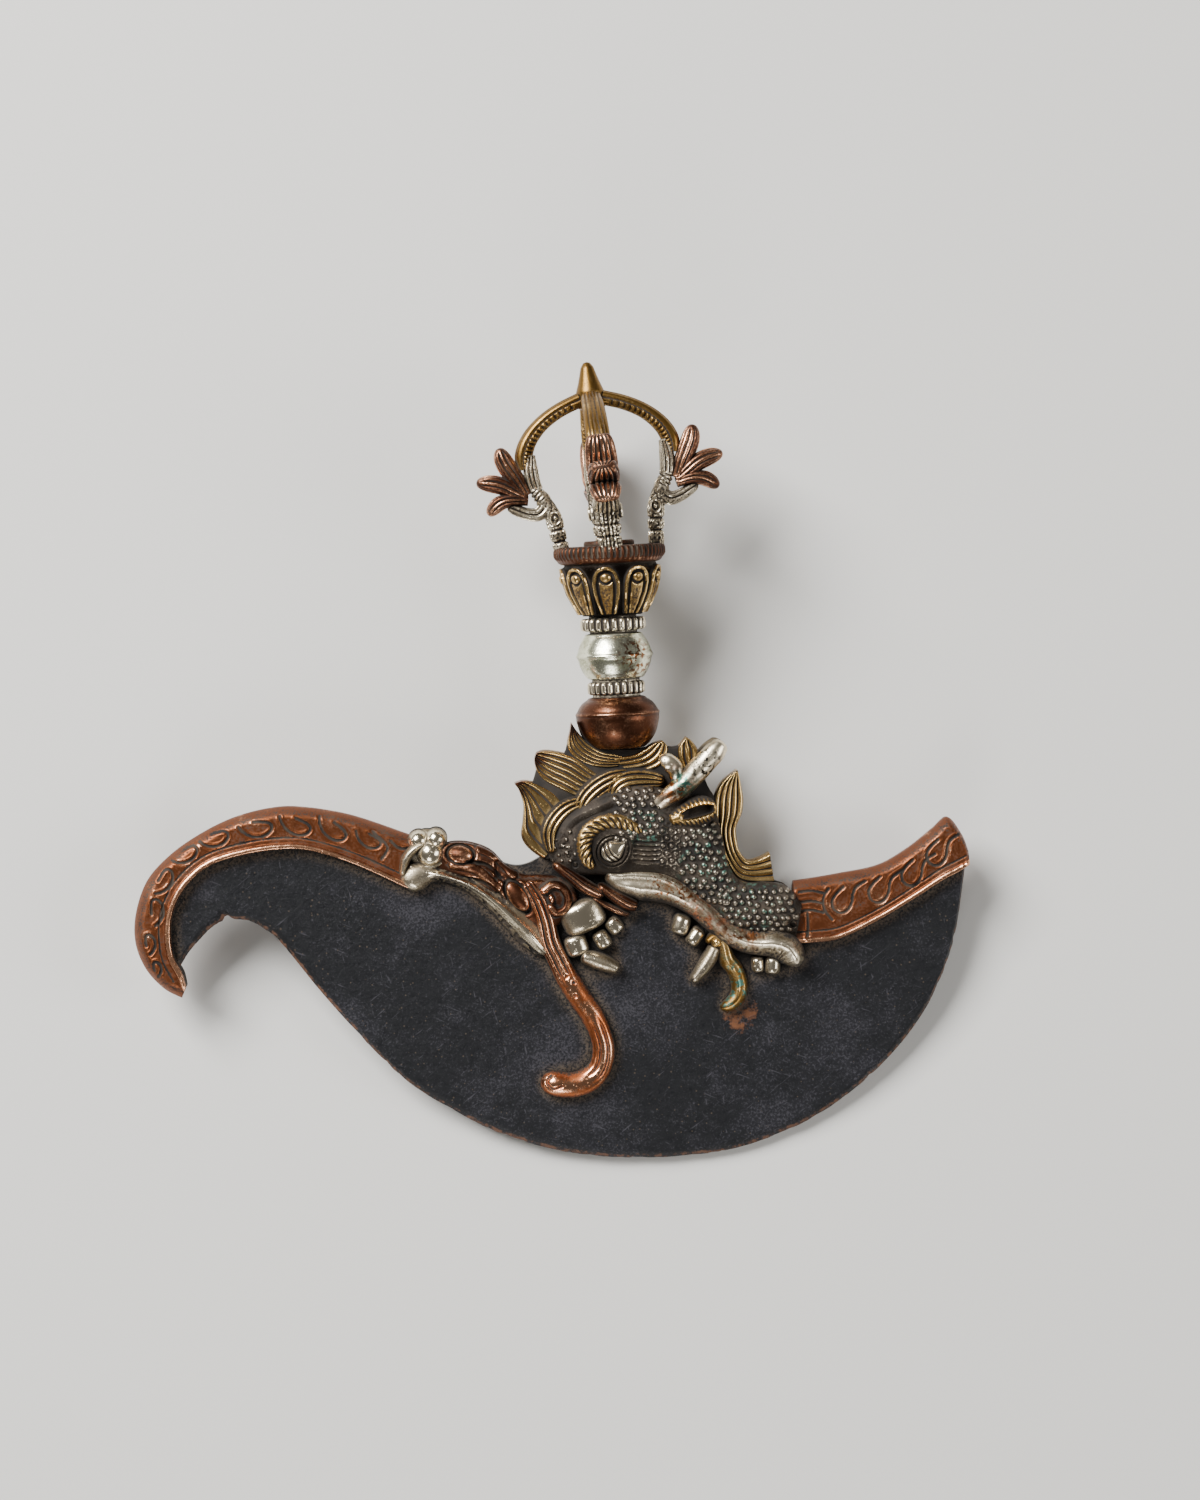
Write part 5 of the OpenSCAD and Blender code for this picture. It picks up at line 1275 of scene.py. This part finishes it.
class ChaseJaws(PieceMaker):
    """Chases the lips, mouth bars, lower jaw, curls, teeth, fangs, whisker and tongue"""

    bl_idname = "chopper.chase_jaws"
    bl_label = "Jaws and tongue"

    def execute(self, context):
        self.lips()
        self.teeth()
        self.jaw()
        self.tongue()
        return {"FINISHED"}

    def lips(self):
        path = [
            (1, -24.9), (4, -25.9), (8, -26.4), (12, -26.9), (16, -28.5), (20, -31.2), (23, -33.8),
            (26, -36.2), (29, -37.7), (32, -38.2), (35, -38.4), (37.6, -39.6), (39, -41.6), (39.4, -43.4)
        ]
        wide = [0.9, 2.6, 3.6, 3.5, 3, 2.7, 2.6, 2.6, 2.7, 2.8, 3, 3, 2.6, 1.5]
        tops = [0.66, 0.72, 0.74, 0.74, 0.74, 0.74, 0.76, 0.8, 0.86, 0.94, 1, 1, 0.94, 0.66]

        def ridges(xy, u, v):
            start = eased(u, 0.04, 0.12) * eased(-u, -0.42, -0.28)
            crest = 0.5 - 0.55 * eased(u, 0.22, 0.5) + 0.25 * eased(u, 0.66, 0.86)
            ridge = 0.7 * bell(v - crest, 0.42 - 0.18 * start)
            bulge = 0.55 * bell(v + 0.3, 0.3) * start
            pocked = (
                -0.3 * clamp(grained(u.shape, 3, 35)) * eased(np.abs(v - crest), 0.16, 0.5)
                * eased(u, 0.3, 0.45)
            )
            return ridge + bulge - 0.75 + pocked + 0.04 * grained(u.shape, 9, 31)

        obj = strip(path, wide, tops, FOOT, 6.6, 300, 48, span=1.2, detail=ridges, ends=(0.03, 0.05))
        on_both_faces(obj, "rolled_upper_lip", "upper_lip", "lip")

        path = [
            (-38.6, -28), (-36.8, -25.6), (-33.6, -24.6), (-30, -25.3), (-26, -26.9), (-22, -29.5),
            (-18, -33), (-14, -37), (-10.4, -41.1)
        ]
        wide = [2.2, 3, 2, 1.5, 1.7, 2.1, 2.5, 2.7, 1.6]
        tops = [0.9, 1, 0.86, 0.84, 0.86, 0.9, 0.96, 1, 0.7]

        def fold(xy, u, v):
            later = eased(u, 0.18, 0.3)
            rim = 0.8 * bell(v + 0.2 - 0.3 * u, 0.28) * later
            band = np.maximum(eased(v, 0.24, 0.42) * eased(-u, -0.8, -0.6), eased(-v, 0.5, 0.62)) * later
            pocked = -0.5 * clamp(grained(u.shape, 3, 32) + 0.1)
            return rim - 0.4 + band * (1.4 * pocked - 0.3) + 0.04 * grained(u.shape, 6, 34)

        obj = strip(path, wide, tops, FOOT, 3.8, 210, 44, span=0.9, detail=fold, ends=(0.08, 0.06))
        on_both_faces(obj, "rolled_lower_lip", "lower_lip", "silver")

        ridge = lambda xy, u, v: 0.35 * (strands((1 - v) / 2, 3, 0.7) - 0.8) * eased(u, 0.12, 0.3)
        bars = (
            ([(-9.4, -22.5), (-6.2, -24.8), (-3, -27.2), (0.8, -29.2)], [1, 1.3, 1.5, 1.2], 4.4),
            ([(-0.4, -26.9), (2.8, -29), (5.6, -30.7), (7.6, -31.3)], [0.9, 1.3, 1.5, 1], 4.2),
            ([(-1.6, -29.4), (1.6, -31.2), (4, -32.3), (6, -33)], [0.5, 0.7, 0.7, 0.5], 3.4)
        )
        bars = [
            strip(path, wide, [0.9, 1, 1, 0.9], FOOT, tall, 90, 34, detail=ridge, ends=(0.12, 0.12))
            for path, wide, tall in bars
        ]
        on_both_faces(joined(bars), "mouth_corner_bars", "mouth_bar", "jaw")

    def teeth(self):
        pieces = [
            tooth(16.4, -34.9, 3.7, 4.3, -15, 3.2), tooth(19.2, -37.3, 3.1, 4, -35, 3.2),
            tooth(31.9, -42.9, 2.7, 3.4, 5, 2.8), tooth(34.9, -43, 3.3, 3.9, -5, 3.2),
            strip(
                [(23.4, -39.2), (22.2, -41.6), (20.6, -44), (18.6, -46.6)], [1.4, 1.6, 1.4, 0.9],
                [0.9, 1, 0.96, 0.8], FOOT, 3.4, 80, 34, ends=(0.1, 0.14)
            )
        ]
        on_both_faces(joined(pieces), "upper_teeth_and_fang", "upper_teeth", "silver")
        pieces = [
            tooth(-3.4, -33.3, 9, 6.6, 25, 3.8, 40), tooth(-4.6, -39.2, 4.7, 4.4, 20, 2.8, 26),
            tooth(0.6, -38, 3.3, 3.9, 32, 3), tooth(3, -35.2, 3.4, 3.5, 40, 2.6),
            strip(
                [(-3.6, -41.2), (-1.2, -42), (1.4, -42.9), (4, -44)], [1.3, 1.7, 1.7, 1.1],
                [0.9, 1, 1, 0.86], FOOT, 3.4, 80, 34, ends=(0.12, 0.12)
            )
        ]
        on_both_faces(joined(pieces), "lower_teeth_and_fang", "lower_teeth", "silver")
        path = [
            (21.4, -38.5), (23.2, -37.4), (24.9, -39), (25.7, -41.9), (27.2, -43.9), (28.2, -46.6),
            (28, -49.2), (26.4, -51), (24.4, -51.8)
        ]
        wide = [0.7, 1.1, 1.4, 1.7, 1.7, 1.7, 1.6, 1.4, 0.8]
        tops = [1, 1, 1, 1, 0.96, 0.92, 0.9, 0.86, 0.6]
        crease = lambda xy, u, v: -0.3 * bell(v - 0.15, 0.18) * eased(u, 0.15, 0.3)
        obj = strip(path, wide, tops, FOOT, 3, 170, 34, detail=crease, ends=(0.05, 0.08))
        obj = joined([obj, ball(23.5, -38.3, 1.4, 3.8)])
        on_both_faces(obj, "curled_whisker", "whisker", "whisker")

    def jaw(self):
        edges = [
            [(-33.4, -20), (-33.4, -24.6)], [(-30, -18.6), (-30.4, -25)], [(-26, -18.7), (-27, -26)],
            [(-22, -20.2), (-23.6, -27.8)], [(-19, -23), (-21, -30)], [(-15.5, -24.9), (-17.6, -32.8)],
            [(-12, -25), (-14.4, -35.6)], [(-8.4, -25.4), (-11.2, -37.4)], [(-5.6, -27), (-8.2, -35)],
            [(-4.4, -29.6), (-6, -32.4)]
        ]
        tops = [0.6, 0.9, 1, 1, 0.92, 0.9, 0.94, 0.96, 0.9, 0.6]

        def detail(xy, u, share):
            extra = -0.9 * inside(xy, (-21, -26), (-8, -22), 0.5)
            extra += set_boss(xy, (-28, -20.8), (2.5, 1.75), -8, 1.3)
            extra += set_boss(xy, (-16.5, -29.3), (3.4, 1.8), -56, 1.2)
            folds = [
                [(-29.4, -23), (-24.6, -24), (-20.6, -27.6)], [(-24, -19.6), (-20.6, -21.4), (-17.4, -25)]
            ]
            extra += raised(xy, folds, 1.9, 0.8)
            scroll = [
                (-11.2, -28), (-9.6, -26.9), (-7.6, -27.4), (-6.4, -29.4), (-6.8, -31.6), (-8.6, -32.5),
                (-9.8, -31.4)
            ]
            extra += raised(xy, [scroll], 1.7, 1.3) + mound(xy, (-9.7, -29.7), (0.6, 1.1), 15, 1.2)
            cuts = [
                [(-27.6, -25.6), (-23.4, -26.4), (-20.6, -28.4), (-16.6, -33.2), (-12.2, -36.2)],
                [(-26.6, -22.3), (-22.6, -23), (-19, -26.6)]
            ]
            return extra + engraved(xy, cuts, 1.0, 0.9)

        obj = cheek(edges, tops, 3, 210, 104, detail, cells=5, span=1.1)
        on_both_faces(obj, "chased_lower_jaw", "lower_jaw", "jaw")

        curls = [
            ball(-34.7, -20.2, 4.3, 1.8), ball(-34, -20.7, 2.9, 4.2), ball(-32.9, -17.9, 2.3, 3.7),
            ball(-36.4, -18.2, 2.2, 3.4),
            strip(
                [(-39.7, -25.4), (-39, -22), (-37.4, -19.9), (-35.2, -18.6)], [0.7, 1, 1, 0.6],
                [0.8, 0.9, 0.95, 0.9], FOOT, 4, 60, 28, ends=(0.15, 0.1)
            ),
            strip(
                [(-38.4, -23.4), (-36.6, -23.6), (-33.6, -23.3), (-31, -22.2)], [0.6, 0.8, 0.8, 0.5],
                [0.8, 0.8, 0.8, 0.7], FOOT, 3.2, 60, 28, ends=(0.15, 0.15)
            )
        ]
        on_both_faces(joined(curls), "curls_behind_jaw", "jaw_curls", "silver")

    def tongue(self):
        path = [
            (-14.8, -26.3), (-12.6, -29.8), (-11, -34), (-10, -38.5), (-8.6, -41.5), (-6.6, -45.5),
            (-4, -49.6), (-1.6, -53), (0.2, -56.7), (1, -60.3), (0.2, -64), (-2.2, -66.4), (-5.6, -67.4),
            (-9, -67), (-11.4, -66)
        ]
        wide = [1.3, 1.9, 2.1, 2.2, 2.2, 2.3, 2.3, 2.3, 2.3, 2.35, 2.4, 2.5, 2.5, 2.5, 1.9]
        tops = [1.12, 1.16, 1.1, 1, 0.96, 0.94, 0.92, 0.9, 0.88, 0.88, 0.9, 0.94, 1, 1, 0.7]

        def licks(xy, u, v):
            start = 0.9 * (strands((1 - v) / 2, 3, 0.9) - 1) * eased(-u, -0.4, -0.3)
            bend = 0.55 * (strands((1 - v) / 2, 3, 0.8) - 1) * eased(u, 0.5, 0.58) * eased(-u, -0.8, -0.72)
            curl = engraved(xy, [[(-9.6, -65.4), (-10.4, -66.6), (-9.2, -68), (-7.4, -67.4)]], 0.8, 0.5)
            pits = -0.5 * pebbled(xy, [(-6.6, -45.4), (-4.8, -49.2), (-5.2, -46.6)], 0.5, 0.7)
            return start + bend + curl + pits + 0.05 * grained(u.shape, 8, 33)

        obj = strip(path, wide, tops, FOOT, 3.4, 290, 44, detail=licks, ends=(0.02, 0.06))
        on_both_faces(obj, "long_tongue", "tongue", "tongue")


class SetRivets(PieceMaker):
    """Gives the hidden rivets that hold the two half heads to the blade the finish of the cast copper jaw
    """

    bl_idname = "chopper.set_rivets"
    bl_label = "Rivets"

    def execute(self, context):
        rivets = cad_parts["head_rivets"]
        rivets.data.materials.clear()
        rivets.data.materials.append(finish("jaw"))
        return {"FINISHED"}


class TurnBeads(PieceMaker):
    """Turns the beads and rings of the grip"""

    bl_idname = "chopper.turn_beads"
    bl_label = "Beads and rings"

    def execute(self, context):
        ridge = lambda a, at: 0.25 * bell(at[..., 1] - 7.1, 0.36) - 0.03
        profile = [
            (0, 0), (4.4, 0), (6, 0.8), (7.5, 2.8), (8.2, 5), (8.4, 6.4), (8, 7.9), (7.2, 9.1), (6.1, 9.9),
            (5, 10.4), (0, 10.4)
        ]
        obj = turned(profile, 100, 108, detail=ridge)
        hand_over(
            obj, "turned_copper_bead", ["copper_bead"], "bead_copper", on_handle(BEAD_Z)
        )

        ridge = lambda a, at: 0.22 * bell(at[..., 1] - 4.7, 0.4) - 0.04
        profile = [
            (0, 0), (4.9, 0), (6.2, 0.9), (7.1, 2.7), (7.45, 4.1), (7.6, 4.8), (7.45, 5.5), (7, 6.9),
            (6.1, 8.5), (5, 9.2), (0, 9.2)
        ]
        obj = turned(profile, 100, 108, detail=ridge)
        hand_over(obj, "turned_silver_bead", ["silver_bead"], "bead", on_handle(SILVER_BEAD_Z))

        for name, node, r, height in (
            ("lower_ribbed_ring", "lower_ring", 5.8, LOWER_RING_Z),
            ("upper_ribbed_ring", "upper_ring", 6.6, UPPER_RING_Z)
        ):
            profile = [
                (0, 0), (4.8, 0), (4.8, 0.5), (r - 0.5, 0.55), (r - 0.05, 0.9), (r, 1.8), (r - 0.05, 2.7),
                (r - 0.5, 3.05), (4.8, 3.1), (4.8, 3.6), (0, 3.6)
            ]
            ribs = lambda a, at: 0.7 * (np.abs(np.cos(12 * a)) ** 0.9 - 1) * eased(at[..., 0], 5, 5.2)
            obj = turned(profile, 56, 216, detail=ribs, crisp=True)
            hand_over(obj, name, [node], "throat", on_handle(height))
        return {"FINISHED"}


class OpenLotus(PieceMaker):
    """Shapes the lotus cup, its petals, the ribbed disc above it and the washer on the disc"""

    bl_idname = "chopper.open_lotus"
    bl_label = "Lotus cup and disc"

    def execute(self, context):
        heights, shares = np.transpose(CUP_PROFILE)
        profile = [(0, 0), *((CUP_RADIUS * r, CUP_HEIGHT * h) for h, r in CUP_PROFILE), (0, CUP_HEIGHT)]
        obj = turned(profile, 90, 108, crisp=True)
        hand_over(obj, "cup_under_petals", ["lotus_cup"], "cup", on_handle(CUP_Z))

        h, a = grid_of(np.linspace(0.03, 0.965, 58), np.linspace(-1, 1, 36))
        wide = np.interp(
            h, [0, 0.06, 0.22, 0.42, 0.62, 0.76, 0.86, 0.93, 1],
            [0.7, 0.78, 0.9, 0.96, 0.96, 0.86, 0.66, 0.4, 0]
        )
        place = np.stack([a * wide * PETAL_HALF, (h - 0.5) * 10], axis=-1)
        top_arc = 3.0 - np.hypot(place[..., 0], np.maximum(place[..., 1] - 1.7, 0))
        rim = np.minimum((1 - np.abs(a)) * wide * PETAL_HALF, top_arc)
        edge = 0.85 * eased(rim, 0.12, 0.42) * eased(-rim, -1.15, -0.85)
        panel = (0.6 + 0.12 * clamp(rim - 1.5)) * eased(rim, 1.45, 1.75)
        tip = np.abs(np.hypot(place[..., 0], 0.8 * (place[..., 1] - 3)) - 1.5)
        form = np.maximum(edge, panel) + pebbled(place, [(0, 2.3)], 0.95, 0.4)
        form -= 0.55 * clamp(1 - tip / 0.3) * (rim > 1.45) * (place[..., 1] < 2.4)
        turn = np.radians(PETAL_HALF_TURN * a * wide)
        cup = CUP_RADIUS * np.interp(h, heights, shares)
        front, back = (about_axis(r, turn, CUP_HEIGHT * h) for r in (cup + 0.1 + form, cup - 0.2))
        worn = clamp(rubbed(form, 4, 1.1) + 0.04 * (form > 0.5) - 0.3 * (form < 0.35))
        worn = np.concatenate([worn, np.zeros_like(worn)], axis=1)
        petal = tube(np.concatenate([front, back[:, ::-1]], axis=1), worn)
        obj = repeated(petal, [turn_by(FIRST_PETAL + 360 / PETALS * k) for k in range(PETALS)])
        hand_over(obj, "double_edged_petals", ["lotus_petals"], "brass", on_handle(CUP_Z))

        profile = [
            (0, 0), (9.7, 0), (10.5, 0.5), (10.7, 0.95), (10.75, 1.15), (11.25, 1.35), (11.3, 2.2),
            (11.25, 3.1), (10.8, 3.5), (10.2, 3.6), (0, 3.6)
        ]
        ribs = lambda a, at: 0.6 * (np.abs(np.cos(30 * a)) ** 0.9 - 1) * eased(at[..., 0], 10.9, 11.1)
        obj = turned(profile, 44, 540, detail=ribs, crisp=True)
        dusty_top = lambda co: (co[:, 2] > 3.4) & (np.hypot(co[:, 0], co[:, 1]) < 10.4)
        wear_by_place(obj, lambda co, worn: np.where(dusty_top(co), 0.1, worn))
        hand_over(obj, "ribbed_copper_disc", ["ribbed_disc"], "disc", on_handle(DISC_Z))

        profile = [(0, 0), (5.1, 0), (5.1, 0.7), (4.8, 1), (2.6, 1), (2.4, 0.8), (0, 0.8)]
        obj = turned(profile, 50, 64, crisp=True)
        hand_over(obj, "dusty_washer", ["tang_washer"], "disc", on_handle(CAGE_Z))
        return {"FINISHED"}


class RaiseCage(PieceMaker):
    """Raises the middle prong and the four prongs of the cage"""

    bl_idname = "chopper.raise_cage"
    bl_label = "Cage of prongs"

    def execute(self, context):
        profile = [
            (0, 0.9), (1.5, 0.9), (1.5, 8), (1.5, 20), (1.5, SPIKE_TOP - 9.8), (2.7, SPIKE_TOP - 9.2),
            (2.8, SPIKE_TOP - 7.6), (2.8, SPIKE_TOP - 5.9), (2.5, SPIKE_TOP - 5), (2.2, SPIKE_TOP - 4.2),
            (1.8, SPIKE_TOP - 2.9), (1.3, SPIKE_TOP - 1.1), (0.7, SPIKE_TOP - 0.25), (0, SPIKE_TOP)
        ]
        obj = turned(profile, 160, 64, crisp=True)
        hand_over(obj, "middle_prong_and_spike", ["middle_prong"], "arm", in_cage())

        for side, turn in (("left", 180), ("right", 0), ("front", 270), ("back", 90)):
            throat = joined([self.throat(), self.scroll(), self.eye(1), self.eye(-1)])
            flames = joined(self.flames(sizes().flame_groove / MM))
            for obj, name, node, slot, metal in (
                (throat, "pitted_prong_throat_", "prong_throat_", "silver", "throat"),
                (flames, "grooved_copper_flames_", "prong_flames_", "bright_copper", "flame"),
                (self.arm(), "beaded_prong_arm_", "prong_arm_", "aged_brass", "arm")
            ):
                hand_over(obj, name + side, [node + side], metal, in_cage(turn))
        return {"FINISHED"}

    def throat(self):
        """Stem, collar and leaf under the arm."""
        path = [
            (9.5, -1.2), (9.7, 1.5), (10, 4), (10.4, 6.8), (11.2, 9), (12.3, 10.9), (13.1, 12.6),
            (13.6, 14.6), (13.7, 17), (13.3, 19.8)
        ]

        def chased(u, a):
            leaf = -0.6 * (1 - ribbed(a, 6, 3)) * eased(u, 0.68, 0.71) * eased(-u, -0.99, -0.97)
            collar = (
                -0.5 * (1 - strands((u - 0.535) / 0.145 + 0.16 * np.cos(a), 3)) * eased(u, 0.53, 0.55)
                * eased(-u, -0.7, -0.66)
            )
            foot = -0.45 * (1 - ribbed(a, 6, 2)) * eased(-u, -0.42, -0.38) * (np.abs(np.sin(a)) < 0.8)
            bands = -0.5 * bell(u - 0.13, 0.012) - 0.5 * bell(u - 0.235, 0.012)
            pocks = -0.35 * clamp(grained(u.shape, 3, 41)) * eased(-u, -0.5, -0.46)
            return leaf + collar + foot + bands + pocks

        thick = [3.2, 3.3, 3.5, 3.5, 3.1, 3.0, 2.9, 3.1, 3.0, 1.7]
        return limb(
            path, thick, [4.8, 4.8, 5.2, 5.2, 5.6, 5.6, 5.6, 5.6, 5.2, 4.6], 180, 104, detail=chased,
            span=0.6
        )

    def scroll(self):
        """Lip curled round the flames' roots, with a groove along each flank."""
        path = [
            (12.9, 12.3), (11.9, 10.9), (11.9, 9.1), (13.4, 7.9), (15.4, 8.2), (17.3, 9.1), (19.2, 10.1)
        ]
        lips = lambda u, a: -0.6 * (1 - ribbed(a, 6, 2)) * eased(u, 0.08, 0.16) * eased(-u, -0.97, -0.9)
        return limb(
            path, [1.8, 2.8, 3, 2.9, 2.6, 2.4, 1.8], [5, 5.4, 5.6, 5.8, 5.6, 5.2, 4.6], 90, 104,
            detail=lips, ends=(0, 0.1)
        )

    def eye(self, side):
        """Ringed stud on a flank of the throat."""
        profile = [
            (0, -0.8), (1.35, -0.8), (1.35, 0.35), (1.15, 0.55), (0.95, 0.45), (0.8, -0.1), (0.5, -0.1),
            (0.4, 0.4), (0.2, 0.6), (0, 0.6)
        ]
        stud = turned(profile, 34, 32, crisp=True)
        wear_by_height(stud, -0.1, 0.4)
        co = mesh_places(stud)
        place_mesh(
            stud, np.column_stack([10.1 + 0.85 * co[:, 0], side * (2.6 + co[:, 2]), 6.7 + 1.1 * co[:, 1]])
        )
        edit(stud, face_outwards)
        return stud

    def flames(self, deep):
        """Three flames bunched on one root, ribbed outside and smooth on the flanks of their tips."""

        def ribs(u, a):
            bare_tip = eased(u, 0.82, 0.94) * eased(np.abs(np.sin(a)), 0.5, 0.8)
            return -deep * (1 - ribbed(a, 6, 3)) * eased(u, 0.02, 0.1) * (1 - bare_tip)

        shapes = (
            ([(15.2, 11.8), (16.4, 14.4), (17.8, 17), (18.9, 19.3), (19.6, 22)], [2.6, 3.4, 3.9, 3.8, 2.7]),
            (
                [(15.2, 11.4), (17.5, 12.9), (19.7, 14.3), (21.9, 15.1), (24.9, 15.6)],
                [2.3, 3.2, 3.6, 3.6, 2.6]
            ),
            ([(15, 10.8), (17.4, 11.3), (19.6, 11.3), (21.4, 10.6), (23.3, 8.9)], [2, 2.6, 3, 3.1, 2.4])
        )
        return [
            limb(
                path, thick, [5.2, 6.2, 6.4, 6, 5], 92, 104, detail=ribs, ends=(0, 0.2), blunt=0.35,
                span=deep
            )
            for path, thick in shapes
        ]

    def arm(self):
        """Arch with a smooth back, fine lines along it and a beaded edge on each flank."""

        def beaded(u, a):
            inwards = -np.cos(a)
            band = eased(inwards, 0.02, 0.16) * eased(-inwards, -0.86, -0.7) * eased(-u, -0.94, -0.9)
            beads = -0.5 * band * (1 - np.abs(np.sin(np.pi * 19 * u)) ** 0.8)
            return (
                beads - 0.3 * bell(inwards + 0.02, 0.07)
                - 0.2 * (1 - ribbed(a, 5, 2)) * eased(-inwards, 0.6, 0.8)
            )

        path = [(15, 17), (14.8, 19.8), (13.3, 22.9), (10.4, 25.8), (6.6, 28), (2.2, 29.6)]
        return limb(
            path, [2.8, 3.6, 3.4, 3.1, 3, 3], [4.4, 4.9, 4.9, 4.7, 4.5, 4], 240, 60, detail=beaded, span=0.4
        )


# Stage


class ChopperStage(bpy.types.PropertyGroup):
    floor: colour("Floor", "Colour of the plain floor", "#d9d7d2")
    light: bpy.props.FloatProperty(
        name="Light", description="Strength of the soft boxes", default=1.0, min=0.1, max=4
    )
    distance: length(
        "Camera distance", "Distance from the camera to the middle of the object", 905, 600, 1400
    )
    slope: bpy.props.FloatProperty(
        name="Camera slope", description="Lean of the view away from straight down",
        default=math.radians(6.6), subtype="ANGLE"
    )


class SetStage(bpy.types.Operator):
    """Sets the pale floor, the soft boxes and the camera, which looks squarely at the blade"""

    bl_idname = "chopper.set_stage"
    bl_label = "Floor, light and camera"

    def execute(self, context):
        stage = context.scene.chopper_stage
        deselect()
        bpy.ops.mesh.primitive_plane_add(size=FLOOR_SIZE)
        floor = context.object
        floor.name = floor.data.name = "plain_floor"
        material, tree, shader, place = new_material("matt_painted_board")
        grain = add(tree, "TexNoise", {"Vector": place, "Scale": grain_per_metre(0.8), "Detail": 2.0})
        bump = add(tree, "Bump", {"Height": grain, "Strength": 0.1, "Distance": 0.05 * MM})
        tree.links.new(bump, shader.inputs["Normal"])
        shader.inputs["Base Color"].default_value = stage.floor
        shader.inputs["Roughness"].default_value = 0.75
        floor.data.materials.append(material)

        world = bpy.data.worlds.new("soft_room")
        world.use_nodes = True
        room = world.node_tree.nodes["Background"].inputs
        room["Color"].default_value = ROOM_COLOUR
        room["Strength"].default_value = ROOM_LIGHT * stage.light
        context.scene.world = world
        for name, at, size, power in SOFT_BOXES:
            box = bpy.data.lights.new(name, "AREA")
            box.size, box.energy = size, power * stage.light
            light = bpy.data.objects.new(name, box)
            light.location = at
            light.rotation_euler = (-Vector(at)).to_track_quat("-Z", "Y").to_euler()
            context.scene.collection.objects.link(light)

        camera = bpy.data.cameras.new("camera")
        camera.sensor_fit, camera.sensor_width, camera.lens = "HORIZONTAL", SENSOR_MM, LENS_MM
        eye = bpy.data.objects.new("camera", camera)
        away = Vector((0, -math.sin(stage.slope), math.cos(stage.slope))) * stage.distance
        eye.location = LIE @ Vector() + away
        eye.rotation_euler = (stage.slope, 0, 0)
        context.scene.collection.objects.link(eye)
        context.scene.camera = eye
        return {"FINISHED"}


PIECES = (
    ForgeBlade, FoldSheaths, ChaseCrest, ChaseHead, ChaseJaws, SetRivets, TurnBeads, OpenLotus, RaiseCage
)


class ChopperPanel(bpy.types.Panel):
    """Sizes, colours and makers of the ritual chopper"""

    bl_idname = "VIEW3D_PT_chopper"
    bl_label = "Ritual chopper"
    bl_space_type = "VIEW_3D"
    bl_region_type = "UI"
    bl_category = "Chopper"

    def draw(self, context):
        scene = context.scene
        for group in (scene.chopper_sizes, scene.chopper_colours, scene.chopper_stage):
            column = self.layout.column(align=True)
            for key in group.__annotations__:
                column.prop(group, key)
        for maker in (*PIECES, SetStage):
            self.layout.operator(maker.bl_idname)


CLASSES = (ChopperSizes, ChopperColours, ChopperStage, *PIECES, SetStage, ChopperPanel)


def register():
    for cls in CLASSES:
        bpy.utils.register_class(cls)
    bpy.types.Scene.chopper_sizes = bpy.props.PointerProperty(type=ChopperSizes)
    bpy.types.Scene.chopper_colours = bpy.props.PointerProperty(type=ChopperColours)
    bpy.types.Scene.chopper_stage = bpy.props.PointerProperty(type=ChopperStage)


def unregister():
    del bpy.types.Scene.chopper_stage, bpy.types.Scene.chopper_colours, bpy.types.Scene.chopper_sizes
    for cls in reversed(CLASSES):
        bpy.utils.unregister_class(cls)


def main():
    register()
    for maker in (SetStage, *PIECES):
        category, name = maker.bl_idname.split(".")
        getattr(getattr(bpy.ops, category), name)()


if __name__ == "__main__":
    main()
